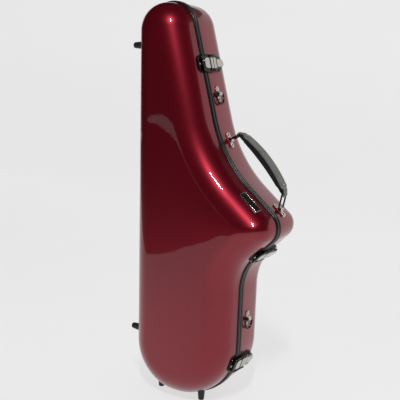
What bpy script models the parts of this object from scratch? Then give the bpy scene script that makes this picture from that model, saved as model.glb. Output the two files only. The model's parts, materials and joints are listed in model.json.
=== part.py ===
"""Hard-shell contoured case for a tenor saxophone, standing upright on its feet.

Metres, +Z up. X runs across the case from the hinged spine (-X) to the carrying handle (+X),
Y from the lid's face (-Y) to the tub's face (+Y). The origin is at the bottom centre of the
whole object's box. The lid turns about a vertical hinge line along the spine.
"""

import math

import bmesh
import bpy
from mathutils import Matrix, Vector

# ---------------------------------------------------------------- driving dimensions
SPINE_X = -0.1544            # flat hinge side of the case
BOTTOM_Z = 0.0079            # lowest point of the shells, above the floor by the feet
TOP_Z = 0.8336
PARTING_Y = -0.0107          # plane where lid and tub meet
LID_DEPTH = 0.0720
TUB_DEPTH = 0.0936
LID_EDGE_RADIUS = 0.052      # soft round-over from the side wall to the face
TUB_EDGE_RADIUS = 0.040
DRAFT = 0.0525               # inward slope of the side walls, metres per metre of depth
WALL = 0.003                 # laminate thickness
GAP = 0.0003                 # clearance between pieces that touch

# The plan of the case, anticlockwise from the spine's foot: x, z, fillet radius, segments.
PLAN = [
    (SPINE_X, BOTTOM_Z, 0.1064, 8),          # heel, under the saxophone's bow
    (0.0882, BOTTOM_Z, 0.1320, 9),
    (0.0927, 0.3004, 0.1060, 4),             # hollow under the bell
    (0.1925, 0.3985, 0.0350, 7),             # bell corner
    (0.0368, 0.5205, 0.2555, 5),             # long waist above the bell
    (-0.0508, TOP_Z, 0.0585, 6),
    (SPINE_X, TOP_Z, 0.0585, 7),
]
SMALLEST_FILLET = 0.004

RIM_PROUD = 0.0030           # how far the edge trim stands out of the wall
RIM_DEPTH = 0.0072           # its depth on each side of the parting plane
SHELL_START = 0.0023         # laminate edge, inside the trim's channel

HINGE_HEIGHTS = {"lower": 0.215, "middle": 0.450, "upper": 0.685}
HINGE_LENGTH = 0.040
KNUCKLE_RADIUS = 0.0032
HINGE_PIN_RADIUS = 0.0013
HINGE_X = SPINE_X - RIM_PROUD - 0.0005 - KNUCKLE_RADIUS

LATCH_HEIGHTS = {"top": 0.7106, "bell": 0.3381, "bottom": 0.0957}
LATCH_HALF_WIDTH = 0.018
LEVER_PIVOT = (0.0140, 0.0059)   # (depth behind the parting plane, height over the wall)
CLAW_PIVOT = (0.0300, 0.0059)
LEVER_HALF_WIDTH = 0.013
LEVER_TIP = 0.057
LEVER_PIN_RADIUS = 0.0015
CLAW_PIN_RADIUS = 0.0010
CLAW_NOSE = -0.0135

STRAP_RING_HEIGHTS = {"upper": 0.6496, "lower": 0.1890}
STRAP_RING_DEPTH = 0.027         # behind the parting plane
RING_WIDTH = 0.028
RING_HEIGHT = 0.025
RING_WIRE = 0.0020
RING_PIVOT_HEIGHT = 0.0042

HANDLE_DEPTH = 0.030
HANDLE_SADDLE_HEIGHTS = {"upper": 0.5570, "lower": 0.4270}
BAIL_PIVOT_HEIGHT = 0.0045
BAIL_WIRE = 0.0018
BAIL_WIDTH = 0.0155              # between the centre lines of its legs
BAIL_TIPS = {                    # how far each tip leans inwards, and stands over the pivots
    "upper": (0.0072, 0.0245), "lower": (0.0179, 0.0270),
}
GRIP_WIDTH = 0.021

FOOT_BASE_RADIUS = 0.0085
FOOT_TIP_RADIUS = 0.0062
FOOT_TIP_X = -0.1735             # tips of the spine feet
LID_FEET_X = {"heel": -0.1005, "toe": 0.0095}
TUB_FEET_X = {"heel": -0.1005, "toe": -0.0280}
SPINE_FEET_Z = {"low": 0.1287, "high": 0.7454}
LID_FOOT_Y = PARTING_Y - 0.018
TUB_FOOT_Y = PARTING_Y + 0.042
LID_SPINE_FOOT_Y = PARTING_Y - 0.033
TUB_SPINE_FOOT_Y = PARTING_Y + 0.052

PLATE_HEIGHT_Z = 0.4494          # centre of the blank name plate above the bell
PLATE_DEPTH = -0.031
PLATE_LENGTH = 0.050
PLATE_WIDTH = 0.0165

# ---------------------------------------------------------------- scene and materials
for old in list(bpy.data.objects):
    bpy.data.objects.remove(old, do_unlink=True)


def material(name, colour, roughness, metallic=0.0, coat=0.0):
    made = bpy.data.materials.new(name)
    made.use_nodes = True
    shader = made.node_tree.nodes["Principled BSDF"]
    shader.inputs["Base Color"].default_value = (*colour, 1.0)
    shader.inputs["Roughness"].default_value = roughness
    shader.inputs["Metallic"].default_value = metallic
    shader.inputs["Coat Weight"].default_value = coat
    made.diffuse_color = (*colour, 1.0)
    return made


LACQUER = material("wine_red_lacquer", (0.22, 0.006, 0.018), 0.25, 0.45, 1.0)
RIM_BLACK = material("black_edge_trim", (0.012, 0.013, 0.012), 0.3)
NICKEL = material("nickel_plated_steel", (0.55, 0.53, 0.50), 0.22, 1.0)
RUBBER = material("black_rubber", (0.012, 0.012, 0.012), 0.6)
PLUSH = material("black_plush_lining", (0.02, 0.02, 0.024), 0.95)
GRIP_BLACK = material("black_leather_grip", (0.03, 0.03, 0.032), 0.5)
PLATE_DARK = material("dark_name_plate", (0.02, 0.02, 0.022), 0.35, 0.6)

# ---------------------------------------------------------------- plan geometry


def filleted(corners, inset=0.0):
    """Points and outward normals of a closed plan whose corners are rounded, set in by inset.

    A fillet on an outer corner shrinks as the plan shrinks, and one in a hollow grows."""
    count = len(corners)
    edges = []
    for i in range(count):
        a, b = Vector(corners[i][:2]), Vector(corners[(i + 1) % count][:2])
        along = (b - a).normalized()
        edges.append((a, along, Vector((along.y, -along.x))))
    points = []
    for i, (x, z, radius, segments) in enumerate(corners):
        _, before, out_before = edges[i - 1]
        _, after, out_after = edges[i]
        turn = before.cross(after)
        half = math.atan2(abs(turn), before.dot(after)) / 2
        sign = 1.0 if turn > 0 else -1.0
        bisector = (out_before + out_after).normalized()
        corner = Vector((x, z)) - bisector * inset / math.cos(half)
        fillet = max(radius - sign * inset, SMALLEST_FILLET)
        centre = corner - bisector * sign * fillet / math.cos(half)
        start = math.atan2(out_before.y, out_before.x)
        for k in range(segments + 1):
            angle = start + sign * 2 * half * k / segments
            out = Vector((math.cos(angle), math.sin(angle)))
            points.append((centre + out * fillet * sign, out))
    return points


SIDES = {
    "lid": (-1, LID_DEPTH, LID_EDGE_RADIUS),
    "tub": (1, TUB_DEPTH, TUB_EDGE_RADIUS),
}


def plan_ring(inset, y):
    return [Vector((p.x, y, p.y)) for p, _ in filleted(PLAN, inset)]


def right_side(height):
    """Point on the plan's handle side at this height, its upward tangent and its outward normal."""
    ring = filleted(PLAN)
    for i in range(len(ring)):
        a, b = ring[i - 1], ring[i]
        if a[0].x > -0.06 and a[0].y <= height < b[0].y:
            t = (height - a[0].y) / (b[0].y - a[0].y)
            point = a[0].lerp(b[0], t)
            out = a[1].lerp(b[1], t).normalized()
            return (
                Vector((point.x, PARTING_Y, point.y)),
                Vector((-out.y, 0, out.x)),
                Vector((out.x, 0, out.y)),
            )
    raise ValueError(f"the handle side has no point at {height}")


DEPTHWISE = Vector((0, 1, 0))


class Seat:
    """A local frame on the side wall: u along the wall, v in depth behind the parting, w out."""

    def __init__(self, origin, along, out):
        self.origin, self.along, self.out = origin, along, out

    def at(self, u, v, w):
        return self.origin + self.along * u + DEPTHWISE * v + self.out * w


def wall_rows(side, offset, first, steps=4):
    """(inset, depth) rows of a shell surface that lies offset inside the outer one."""
    _, depth, radius = SIDES[side]
    straight = depth - radius
    rows = [(DRAFT * first + offset, first), (DRAFT * straight + offset, straight)]
    for k in range(1, steps + 1):
        turn = math.pi / 2 * k / steps
        reach = radius - offset
        rows.append(
            (
                DRAFT * straight + radius - reach * math.cos(turn),
                straight + reach * math.sin(turn),
            )
        )
    return rows


# ---------------------------------------------------------------- mesh helpers


def new_object(name, bm, finish, smooth=35):
    """An object from bm, with its normals out and its round stretches shaded smooth."""
    bmesh.ops.remove_doubles(bm, verts=bm.verts, dist=1e-7)
    bmesh.ops.recalc_face_normals(bm, faces=bm.faces)
    mesh = bpy.data.meshes.new(name)
    bm.to_mesh(mesh)
    bm.free()
    mesh.materials.append(finish)
    mesh.shade_smooth()
    mesh.set_sharp_from_angle(angle=math.radians(smooth))
    made = bpy.data.objects.new(name, mesh)
    bpy.context.scene.collection.objects.link(made)
    return made


def loft(name, rings, finish, closed_loop=False):
    """A skin over rings of equal length, capped at both ends or joined end to start."""
    bm = bmesh.new()
    rows = [[bm.verts.new(p) for p in ring] for ring in rings]
    spans = len(rows) if closed_loop else len(rows) - 1
    for i in range(spans):
        a, b = rows[i], rows[(i + 1) % len(rows)]
        for j in range(len(a)):
            k = (j + 1) % len(a)
            bm.faces.new((a[j], a[k], b[k], b[j]))
    if not closed_loop:
        bm.faces.new(rows[0])
        bm.faces.new(rows[-1])
    return new_object(name, bm, finish)


def prism(name, profile, start, end, finish):
    """profile is a list of points; the solid runs from them by start to them by end."""
    return loft(name, [[p + start for p in profile], [p + end for p in profile]], finish)


def rod(name, start, end, radius, finish, sides=12, end_radius=None):
    """A round rod or cone between two points."""
    axis = (end - start).normalized()
    side = axis.orthogonal().normalized()
    other = axis.cross(side)
    rings = []
    for centre, size in ((start, radius), (end, end_radius or radius)):
        ring = []
        for k in range(sides):
            turn = 2 * math.pi * (k + 0.5) / sides
            ring.append(centre + (side * math.cos(turn) + other * math.sin(turn)) * size)
        rings.append(ring)
    return loft(name, rings, finish)


def wire_loop(name, path, normal, radius, finish, sides=6):
    """A closed wire along a flat closed path, given the plane's normal."""
    rings = []
    for i, point in enumerate(path):
        before = (point - path[i - 1]).normalized()
        after = (path[(i + 1) % len(path)] - point).normalized()
        tangent = (before + after).normalized()
        sideways = normal.cross(tangent)
        stretch = 1 / max(tangent.dot(after), 0.5)
        ring = []
        for k in range(sides):
            turn = 2 * math.pi * k / sides
            spread = sideways * math.cos(turn) * stretch + normal * math.sin(turn)
            ring.append(point + spread * radius)
        rings.append(ring)
    return loft(name, rings, finish, closed_loop=True)


def combine(target, tool, operation):
    """Adds or cuts tool, then drops it: the result is one plain mesh in target."""
    cut = target.modifiers.new(operation.lower(), "BOOLEAN")
    cut.operation = operation
    cut.solver = "EXACT"
    cut.object = tool
    graph = bpy.context.evaluated_depsgraph_get()
    mesh = bpy.data.meshes.new_from_object(target.evaluated_get(graph))
    target.modifiers.clear()
    target.data = mesh
    bpy.data.objects.remove(tool, do_unlink=True)
    mesh.shade_smooth()
    mesh.set_sharp_from_angle(angle=math.radians(35))
    return target


def set_pivot(piece, point):
    """Moves the object's origin to point and leaves its shape where it is."""
    piece.data.transform(Matrix.Translation(-point))
    piece.location = point
    return piece


lid_axis = bpy.data.objects.new("lid_hinge_axis", None)
lid_axis.location = (HINGE_X, PARTING_Y, 0)
bpy.context.scene.collection.objects.link(lid_axis)


def on_lid(piece):
    """Hangs a piece on the lid, which turns about the hinge line."""
    piece.parent = lid_axis
    piece.location -= lid_axis.location
    return piece


# ---------------------------------------------------------------- shells, trim and seal


def shell(name, side):
    """An open tray of laminate: outer skin, face, inner skin and rim."""
    sign = SIDES[side][0]
    outer = wall_rows(side, 0.0, SHELL_START)
    inner = wall_rows(side, WALL, SHELL_START)
    rings = [plan_ring(i, PARTING_Y + sign * d) for i, d in reversed(outer)]
    rings += [plan_ring(i, PARTING_Y + sign * d) for i, d in inner]
    bm = bmesh.new()
    rows = [[bm.verts.new(p) for p in ring] for ring in rings]
    for a, b in zip(rows, rows[1:]):
        for j in range(len(a)):
            k = (j + 1) % len(a)
            bm.faces.new((a[j], a[k], b[k], b[j]))
    bm.faces.new(rows[0])
    bm.faces.new(rows[-1])
    return new_object(name, bm, LACQUER)


def rim_trim(name, side):
    """A channel of black trim that grips the laminate's edge all round."""
    sign = SIDES[side][0]
    proud, deep = RIM_PROUD, RIM_DEPTH
    section = [
        (0.0020, GAP), (proud, 0.0013), (proud, deep - 0.0016), (0.0020, deep - 0.0003),
        (GAP, deep), (GAP, SHELL_START - GAP), (-0.0037, SHELL_START - GAP),
        (-0.0037, deep - 0.0004), (-0.0050, deep - 0.0004), (-0.0050, GAP),
    ]
    rings = [plan_ring(-w, PARTING_Y + sign * d) for w, d in section]
    return loft(name, rings, RIM_BLACK, closed_loop=True)


def gasket():
    """A soft rubber strip inside the tub's trim, which the lid's trim closes against."""
    section = [(0.0053, 0.0005), (0.0078, 0.0005), (0.0078, 0.0064), (0.0053, 0.0064)]
    rings = [plan_ring(inset, PARTING_Y + d) for inset, d in section]
    return loft("rim_gasket", rings, RUBBER, closed_loop=True)


on_lid(shell("front_shell", "lid"))
shell("back_shell", "tub")
on_lid(rim_trim("front_rim_trim", "lid"))
rim_trim("back_rim_trim", "tub")
gasket()


def case_cutter(side):
    """The outer form of one half, one gap larger, which trims what is seated on the wall."""
    sign = SIDES[side][0]
    rows = [(-GAP, 0.0), *wall_rows(side, -GAP, 0.001)]
    rings = [plan_ring(i, PARTING_Y + sign * d) for i, d in rows]
    return loft("case_cutter", rings, RIM_BLACK)


def seated(piece, side):
    """Trims the underside of a piece so that it lies on the wall all over."""
    return combine(piece, case_cutter(side), "DIFFERENCE")


# ---------------------------------------------------------------- plush linings
LINING_GAP = WALL + 0.0004
LINING_START = 0.0080
LID_PADDING = 0.012

BED_POCKET = [                       # the saxophone lying on its back: body, bow and bell
    (-0.1370, 0.0290, 0.075, 5), (0.0680, 0.0290, 0.085, 5), (0.0710, 0.3080, 0.110, 3),
    (0.1420, 0.3850, 0.018, 3), (0.0400, 0.4700, 0.018, 3), (-0.0080, 0.3200, 0.060, 3),
    (-0.0140, 0.1750, 0.012, 3), (-0.0470, 0.1750, 0.012, 3), (-0.0560, 0.6900, 0.016, 3),
    (-0.1370, 0.6900, 0.016, 3),
]
BED_POCKET_DEPTH = 0.062
BELL_WELL = [                        # deeper place for the bell's flare
    (0.0150, 0.3300, 0.020, 3), (0.0640, 0.3150, 0.020, 3), (0.1210, 0.3820, 0.012, 3),
    (0.0420, 0.4450, 0.012, 3),
]
BELL_WELL_DEPTH = 0.079
NECK_POCKET = [                      # neck and mouthpiece, in their own box at the top
    (-0.1340, 0.7060, 0.012, 3), (-0.0620, 0.7060, 0.012, 3), (-0.0620, 0.7850, 0.012, 3),
    (-0.1340, 0.7850, 0.012, 3),
]
NECK_POCKET_DEPTH = 0.050


def pocket_cutter(plan, floor):
    """A straight-sided pocket, opened past the bed's top."""
    ring = [Vector((p.x, 0, p.y)) for p, _ in filleted(plan)]
    top = DEPTHWISE * (PARTING_Y - 0.001)
    return prism("pocket_cutter", ring, top, DEPTHWISE * (PARTING_Y + floor), PLUSH)


def bed():
    rows = wall_rows("tub", LINING_GAP, LINING_START)
    rings = [plan_ring(i, PARTING_Y + d) for i, d in rows]
    made = loft("back_lining_bed", rings, PLUSH)
    pockets = (
        (BED_POCKET, BED_POCKET_DEPTH),
        (BELL_WELL, BELL_WELL_DEPTH),
        (NECK_POCKET, NECK_POCKET_DEPTH),
    )
    for plan, floor in pockets:
        combine(made, pocket_cutter(plan, floor), "DIFFERENCE")
    return made


def lid_lining():
    """A padded tray that follows the lid all over, hollow towards the tub."""
    outer = wall_rows("lid", LINING_GAP, LINING_START)
    inner = wall_rows("lid", LINING_GAP + LID_PADDING, LINING_START, 3)
    rings = [plan_ring(i, PARTING_Y - d) for i, d in [*reversed(outer), *inner]]
    return loft("lid_lining", rings, PLUSH)


bed()
on_lid(lid_lining())

# ---------------------------------------------------------------- hinges
SPINE_SEAT = Seat(Vector((SPINE_X, PARTING_Y, 0)), Vector((0, 0, 1)), Vector((-1, 0, 0)))
KNUCKLE_W = SPINE_X - HINGE_X
SPLIT = HINGE_LENGTH / 2 - 0.013     # where the outer knuckles end and the middle one starts


def leaf(name, side, height, knuckles):
    """A joggled leaf: flat on the wall, stepped over the trim, and rolled round the pin."""
    sign = SIDES[side][0]
    half = HINGE_LENGTH / 2

    def at(v, w):
        return SPINE_SEAT.at(height, sign * v, w)

    step = [
        (0.0040, RIM_PROUD + 0.0004), (RIM_DEPTH + 0.0008, RIM_PROUD + 0.0004),
        (RIM_DEPTH + 0.0008, -0.002), (0.0270, -0.002), (0.0270, 0.0006),
        (RIM_DEPTH + 0.0026, 0.0014), (RIM_DEPTH + 0.0022, RIM_PROUD + 0.0018),
        (0.0040, RIM_PROUD + 0.0018),
    ]
    up = Vector((0, 0, 1))
    made = prism(name, [at(v, w) for v, w in step], -up * half, up * half, NICKEL)
    seated(made, side)
    for low, high in knuckles:
        tab = [
            (0.0008, RIM_PROUD + 0.0006), (0.0046, RIM_PROUD + 0.0006),
            (0.0046, RIM_PROUD + 0.0018), (0.0008, RIM_PROUD + 0.0018),
        ]
        joint = prism("tab", [at(v, w) for v, w in tab], up * low, up * high, NICKEL)
        start, end = at(0, KNUCKLE_W) + up * low, at(0, KNUCKLE_W) + up * high
        combine(made, joint, "UNION")
        combine(made, rod("knuckle", start, end, KNUCKLE_RADIUS, NICKEL), "UNION")
    bore_end = up * (half + 0.002)
    centre = at(0, KNUCKLE_W)
    bore = rod("bore", centre - bore_end, centre + bore_end, HINGE_PIN_RADIUS + GAP, NICKEL, 10)
    return combine(made, bore, "DIFFERENCE")


for place, height in HINGE_HEIGHTS.items():
    half = HINGE_LENGTH / 2
    outer_knuckles = ((-half, -SPLIT), (SPLIT, half))
    inner_knuckle = ((-SPLIT + GAP, SPLIT - GAP),)
    leaf(f"hinge_{place}_tub_leaf", "tub", height, outer_knuckles)
    on_lid(leaf(f"hinge_{place}_lid_leaf", "lid", height, inner_knuckle))
    centre = SPINE_SEAT.at(height, 0, KNUCKLE_W)
    reach = Vector((0, 0, half + 0.0008))
    rod(f"hinge_{place}_pin", centre - reach, centre + reach, HINGE_PIN_RADIUS, NICKEL, 10)

# ---------------------------------------------------------------- latches


def latch_rod(seat, pivot, half_width, radius, name="bore", sides=10):
    """A rod along the wall through a (v, w) pivot, as a pin or as the cutter of its hole."""
    v, w = pivot
    return rod(name, seat.at(-half_width, v, w), seat.at(half_width, v, w), radius, NICKEL, sides)


def side_profile(seat, profile, low, high, name):
    """A prism along the wall from u = low to u = high over (v, w) points."""
    points = [seat.at(0, v, w) for v, w in profile]
    return prism(name, points, seat.along * low, seat.along * high, NICKEL)


def top_profile(seat, profile, low, high, name):
    """A prism out of the wall from w = low to w = high over (u, v) points."""
    points = [seat.at(u, v, 0) for u, v in profile]
    return prism(name, points, seat.out * low, seat.out * high, NICKEL)


def rounded_plan(half_width, start, end, start_radius, end_radius, steps=3):
    """(u, v) points of a plate from v = start to v = end with its four corners rounded."""
    corners = (
        (-half_width, start, start_radius, 180), (half_width, start, start_radius, 270),
        (half_width, end, end_radius, 0), (-half_width, end, end_radius, 90),
    )
    points = []
    for u, v, radius, begin in corners:
        centre_u = u - math.copysign(radius, u)
        centre_v = v + radius if v == min(start, end) else v - radius
        for k in range(steps + 1):
            turn = math.radians(begin + 90 * k / steps)
            points.append((centre_u + radius * math.cos(turn), centre_v + radius * math.sin(turn)))
    return points


def latch_base(name, seat):
    """A cast plate on the tub with two cheeks that hold the lever's pin."""
    plan = rounded_plan(LATCH_HALF_WIDTH - 0.001, RIM_DEPTH + 0.0008, 0.050, 0.001, 0.006)
    made = top_profile(seat, plan, -0.006, 0.0024, name)
    seated(made, "tub")
    v, w = LEVER_PIVOT
    cheek = [
        (v - 0.0045, 0.001), (v + 0.0060, 0.001), (v + 0.0045, w + 0.0014),
        (v + 0.0018, w + 0.0028), (v - 0.0018, w + 0.0028), (v - 0.0036, w + 0.0014),
    ]
    inner = LEVER_HALF_WIDTH + 0.0004
    for low, high in ((-inner - 0.002, -inner), (inner, inner + 0.002)):
        combine(made, side_profile(seat, cheek, low, high, "cheek"), "UNION")
    bore = latch_rod(seat, LEVER_PIVOT, 0.02, LEVER_PIN_RADIUS + GAP)
    return combine(made, bore, "DIFFERENCE")


def latch_lever(name, seat):
    """The lever: a thick ribbed flap that ends in a rounded finger tab."""
    v, w = LEVER_PIVOT
    nose = 0.0025
    profile = []
    for k in range(5):
        turn = math.radians(90 + 45 * k)
        profile.append((v + nose * math.cos(turn), w + nose * math.sin(turn)))
    profile += [(0.0475, w - nose), (0.0485, w + 0.0019), (0.0440, w + 0.0023)]
    body = side_profile(seat, profile, -LEVER_HALF_WIDTH, LEVER_HALF_WIDTH, name)
    tab_plan = rounded_plan(0.0085, 0.044, LEVER_TIP, 0.001, 0.0075, 4)
    combine(body, top_profile(seat, tab_plan, w - 0.0016, w + 0.0010, "tab"), "UNION")
    for groove in (0.0225, 0.0375):
        cut = [
            (groove - 0.0006, w + 0.0015), (groove + 0.0006, w + 0.0015),
            (groove + 0.0006, w + 0.0040), (groove - 0.0006, w + 0.0040),
        ]
        combine(body, side_profile(seat, cut, -0.0105, 0.0105, "groove"), "DIFFERENCE")
    combine(body, latch_rod(seat, LEVER_PIVOT, 0.02, LEVER_PIN_RADIUS + GAP), "DIFFERENCE")
    combine(body, latch_rod(seat, CLAW_PIVOT, 0.02, CLAW_PIN_RADIUS + GAP), "DIFFERENCE")
    return set_pivot(body, seat.at(0, v, w))


def latch_claw(name, seat):
    """A flat U-shaped bail that draws the lid in: two arms on the lever, one nose on the keeper."""
    inner = LEVER_HALF_WIDTH + 0.0028
    outer = LATCH_HALF_WIDTH
    v, w = CLAW_PIVOT
    end = v + 0.0026
    outside = []
    for sign, begin in ((-1, 180), (1, 270)):
        for k in range(4):
            turn = math.radians(begin + 30 * k)
            round_off = 0.007
            outside.append(
                (
                    sign * (outer - round_off) + round_off * math.cos(turn),
                    CLAW_NOSE + round_off + round_off * math.sin(turn),
                )
            )
    inside_front = CLAW_NOSE + 0.0042
    plan = [(-outer, end), *outside, (outer, end), (inner, end), (inner, inside_front + 0.004)]
    plan += [(inner - 0.004, inside_front), (4e-3 - inner, inside_front)]
    plan += [(-inner, inside_front + 0.004), (-inner, end)]
    made = top_profile(seat, plan, w - 0.0018, w + 0.0018, name)
    combine(made, latch_rod(seat, CLAW_PIVOT, 0.02, CLAW_PIN_RADIUS + 0.0002), "DIFFERENCE")
    return set_pivot(made, seat.at(0, v, w))


def latch_keeper(name, seat):
    """The catch on the lid: a round-ended plate under the claw's nose."""
    plan = rounded_plan(LATCH_HALF_WIDTH - 0.001, -0.0220, -RIM_DEPTH - 0.0008, 0.010, 0.001, 4)
    made = top_profile(seat, plan, -0.004, RIM_PROUD, name)
    return seated(made, "lid")


for place, height in LATCH_HEIGHTS.items():
    seat = Seat(*right_side(height))
    latch_base(f"latch_{place}_base", seat)
    latch_lever(f"latch_{place}_lever", seat)
    latch_claw(f"latch_{place}_claw", seat)
    on_lid(latch_keeper(f"latch_{place}_keeper", seat))
    cheeks = LEVER_HALF_WIDTH + 0.0026
    latch_rod(seat, LEVER_PIVOT, cheeks, LEVER_PIN_RADIUS, f"latch_{place}_lever_pin")
    claw_pin = latch_rod(
        seat, CLAW_PIVOT, LATCH_HALF_WIDTH, CLAW_PIN_RADIUS, f"latch_{place}_claw_pin", 8
    )
    set_pivot(claw_pin, seat.at(0, *LEVER_PIVOT))

# ---------------------------------------------------------------- saddles for rings and bails


def saddle(name, seat, depth, pivot_height, wire, half_length, half_width):
    """A plate along the wall with a bridge in its middle that a wire passes under in depth."""
    lobe = 0.0055
    plan = []
    for sign, begin in ((-1, 90), (1, -90)):
        for k in range(5):
            turn = math.radians(begin + 45 * k)
            plan.append(
                (sign * (half_length - lobe) + lobe * math.cos(turn), depth + lobe * math.sin(turn))
            )
    made = top_profile(seat, plan, -0.006, pivot_height - wire - 0.0006, name)
    seated(made, "tub")
    hump = pivot_height + wire + 0.0022
    arch = [
        (-0.0065, 0.0010), (-0.0052, pivot_height), (-0.0032, hump - 0.0008),
        (0.0, hump), (0.0032, hump - 0.0008), (0.0052, pivot_height), (0.0065, 0.0010),
    ]
    points = [seat.at(u, depth, w) for u, w in arch]
    across = DEPTHWISE * half_width
    combine(made, prism("arch", points, -across, across, NICKEL), "UNION")
    centre = seat.at(0, depth, pivot_height)
    reach = DEPTHWISE * 0.012
    hole = rod("hole", centre - reach, centre + reach, wire + 0.0005, NICKEL, 10)
    return combine(made, hole, "DIFFERENCE")


def strap_ring(name, seat):
    """A D-shaped ring: its straight bar lies under the bridge and its bow hangs down the wall."""
    half = RING_WIDTH / 2 - RING_WIRE
    drop = RING_HEIGHT - 2 * RING_WIRE
    bend = 0.004
    path = [(0.0, -half + bend), (0.0, half - bend)]
    for k in range(1, 4):
        turn = math.radians(30 * k)
        path.append((-bend + bend * math.cos(turn), half - bend + bend * math.sin(turn)))
    for k in range(1, 8):
        turn = math.pi * k / 8
        path.append((-bend - (drop - bend) * math.sin(turn), half * math.cos(turn)))
    for k in range(3):
        turn = math.radians(90 - 30 * k)
        path.append((-bend + bend * math.cos(turn), -half + bend - bend * math.sin(turn)))
    points = [seat.at(u, STRAP_RING_DEPTH + v, RING_PIVOT_HEIGHT) for u, v in path]
    made = wire_loop(name, points, seat.out, RING_WIRE, NICKEL)
    return set_pivot(made, seat.at(0, STRAP_RING_DEPTH, RING_PIVOT_HEIGHT))


for place, height in STRAP_RING_HEIGHTS.items():
    seat = Seat(*right_side(height))
    saddle(
        f"strap_saddle_{place}", seat, STRAP_RING_DEPTH, RING_PIVOT_HEIGHT, RING_WIRE,
        half_length=0.0165, half_width=0.0050,
    )
    strap_ring(f"strap_ring_{place}", seat)

# ---------------------------------------------------------------- carrying handle
HANDLE_SEATS = {}
for place, height in HANDLE_SADDLE_HEIGHTS.items():
    seat = HANDLE_SEATS[place] = Seat(*right_side(height))
    saddle(
        f"handle_saddle_{place}", seat, HANDLE_DEPTH, BAIL_PIVOT_HEIGHT, BAIL_WIRE,
        half_length=0.0170, half_width=0.0048,
    )

upper_pivot = HANDLE_SEATS["upper"].at(0, HANDLE_DEPTH, BAIL_PIVOT_HEIGHT)
lower_pivot = HANDLE_SEATS["lower"].at(0, HANDLE_DEPTH, BAIL_PIVOT_HEIGHT)
span = (lower_pivot - upper_pivot).length
down = (lower_pivot - upper_pivot).normalized()
pivot_line = Seat(upper_pivot, down, Vector((-down.z, 0, down.x)))


def bail(name, pivot, tip):
    """A rectangular wire loop: one end under the saddle's bridge, the other in the grip's lug."""
    rise = (tip - pivot).normalized()
    normal = DEPTHWISE.cross(rise)
    half = BAIL_WIDTH / 2
    bend = 0.0025
    length = (tip - pivot).length
    path = []
    near, far, side = bend, length - bend, half - bend
    for a, b, begin in ((near, -side, 180), (far, -side, 270), (far, side, 0), (near, side, 90)):
        for k in range(3):
            turn = math.radians(begin + 45 * k)
            path.append((a + bend * math.cos(turn), b + bend * math.sin(turn)))
    points = [pivot + rise * a + DEPTHWISE * b for a, b in path]
    return set_pivot(wire_loop(name, points, normal, BAIL_WIRE, NICKEL, 8), pivot)


upper_lean, upper_rise = BAIL_TIPS["upper"]
lower_lean, lower_rise = BAIL_TIPS["lower"]
upper_tip = pivot_line.at(upper_lean, 0, upper_rise)
lower_tip = pivot_line.at(span - lower_lean, 0, lower_rise)
bail("handle_bail_upper", upper_pivot, upper_tip)
bail("handle_bail_lower", lower_pivot, lower_tip)


def grip():
    """An arched padded grip with a narrow lug at each end that the bails pass through."""
    length = (lower_tip - upper_tip).length
    along = (lower_tip - upper_tip).normalized()
    seat = Seat(upper_tip, along, Vector((-along.z, 0, along.x)))
    middle = length / 2
    reach = middle - 0.0085
    crown_top, crown_bottom = 0.0095, 0.0045
    top, bottom = 0.0095, -0.0030
    stations = 8
    rings = []
    for i in range(stations + 1):
        t = -1 + 2 * i / stations
        rise = 1 - t * t
        low, high = bottom + crown_bottom * rise, top + crown_top * rise
        half = GRIP_WIDTH / 2 * (0.86 + 0.14 * rise)
        round_off = 0.004
        section = [
            (-half, low + round_off), (-half, high - round_off), (-half + round_off, high),
            (half - round_off, high), (half, high - round_off), (half, low + round_off),
            (half - round_off, low), (-half + round_off, low),
        ]
        rings.append([seat.at(middle + t * reach, v, w) for v, w in section])
    made = loft("handle_grip", rings, GRIP_BLACK)
    lug = 0.0050
    for end, inward in ((0.0, 1), (length, -1)):
        outline = [
            (0.0140, -0.0048), (0.0140, 0.0105), (0.0010, 0.0085),
            (-0.0050, 0.0050), (-0.0050, -0.0026), (-0.0022, -0.0048),
        ]
        points = [seat.at(end + inward * u, 0, w) for u, w in outline]
        combine(made, prism("lug", points, -DEPTHWISE * lug, DEPTHWISE * lug, GRIP_BLACK), "UNION")
    for tip, clearance in ((upper_tip, 0.0005), (lower_tip, 0.0015)):
        across = DEPTHWISE * 0.012
        hole = rod("hole", tip - across, tip + across, BAIL_WIRE + clearance, GRIP_BLACK, 12)
        combine(made, hole, "DIFFERENCE")
    return set_pivot(made, upper_tip)


grip()

# ---------------------------------------------------------------- feet and name plate


def foot(name, tip, into, length, side):
    """A tapered rubber foot, shaped on its inner end to lie on the shell."""
    made = rod(name, tip, tip + into * 0.0012, FOOT_TIP_RADIUS - 0.0010, RUBBER, 14, FOOT_TIP_RADIUS)
    root = tip + into * length
    stem = rod("stem", tip + into * 0.0012, root, FOOT_TIP_RADIUS, RUBBER, 14, FOOT_BASE_RADIUS)
    combine(made, stem, "UNION")
    return seated(made, side)


for place in ("heel", "toe"):
    up = Vector((0, 0, 1))
    lid_tip = Vector((LID_FEET_X[place], LID_FOOT_Y, 0))
    tub_tip = Vector((TUB_FEET_X[place], TUB_FOOT_Y, 0))
    on_lid(foot(f"foot_lid_{place}", lid_tip, up, 0.036, "lid"))
    foot(f"foot_tub_{place}", tub_tip, up, 0.036, "tub")
for place, z in SPINE_FEET_Z.items():
    inward = Vector((1, 0, 0))
    lid_tip = Vector((FOOT_TIP_X, LID_SPINE_FOOT_Y, z))
    tub_tip = Vector((FOOT_TIP_X, TUB_SPINE_FOOT_Y, z))
    on_lid(foot(f"foot_lid_spine_{place}", lid_tip, inward, 0.030, "lid"))
    foot(f"foot_tub_spine_{place}", tub_tip, inward, 0.030, "tub")


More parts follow.
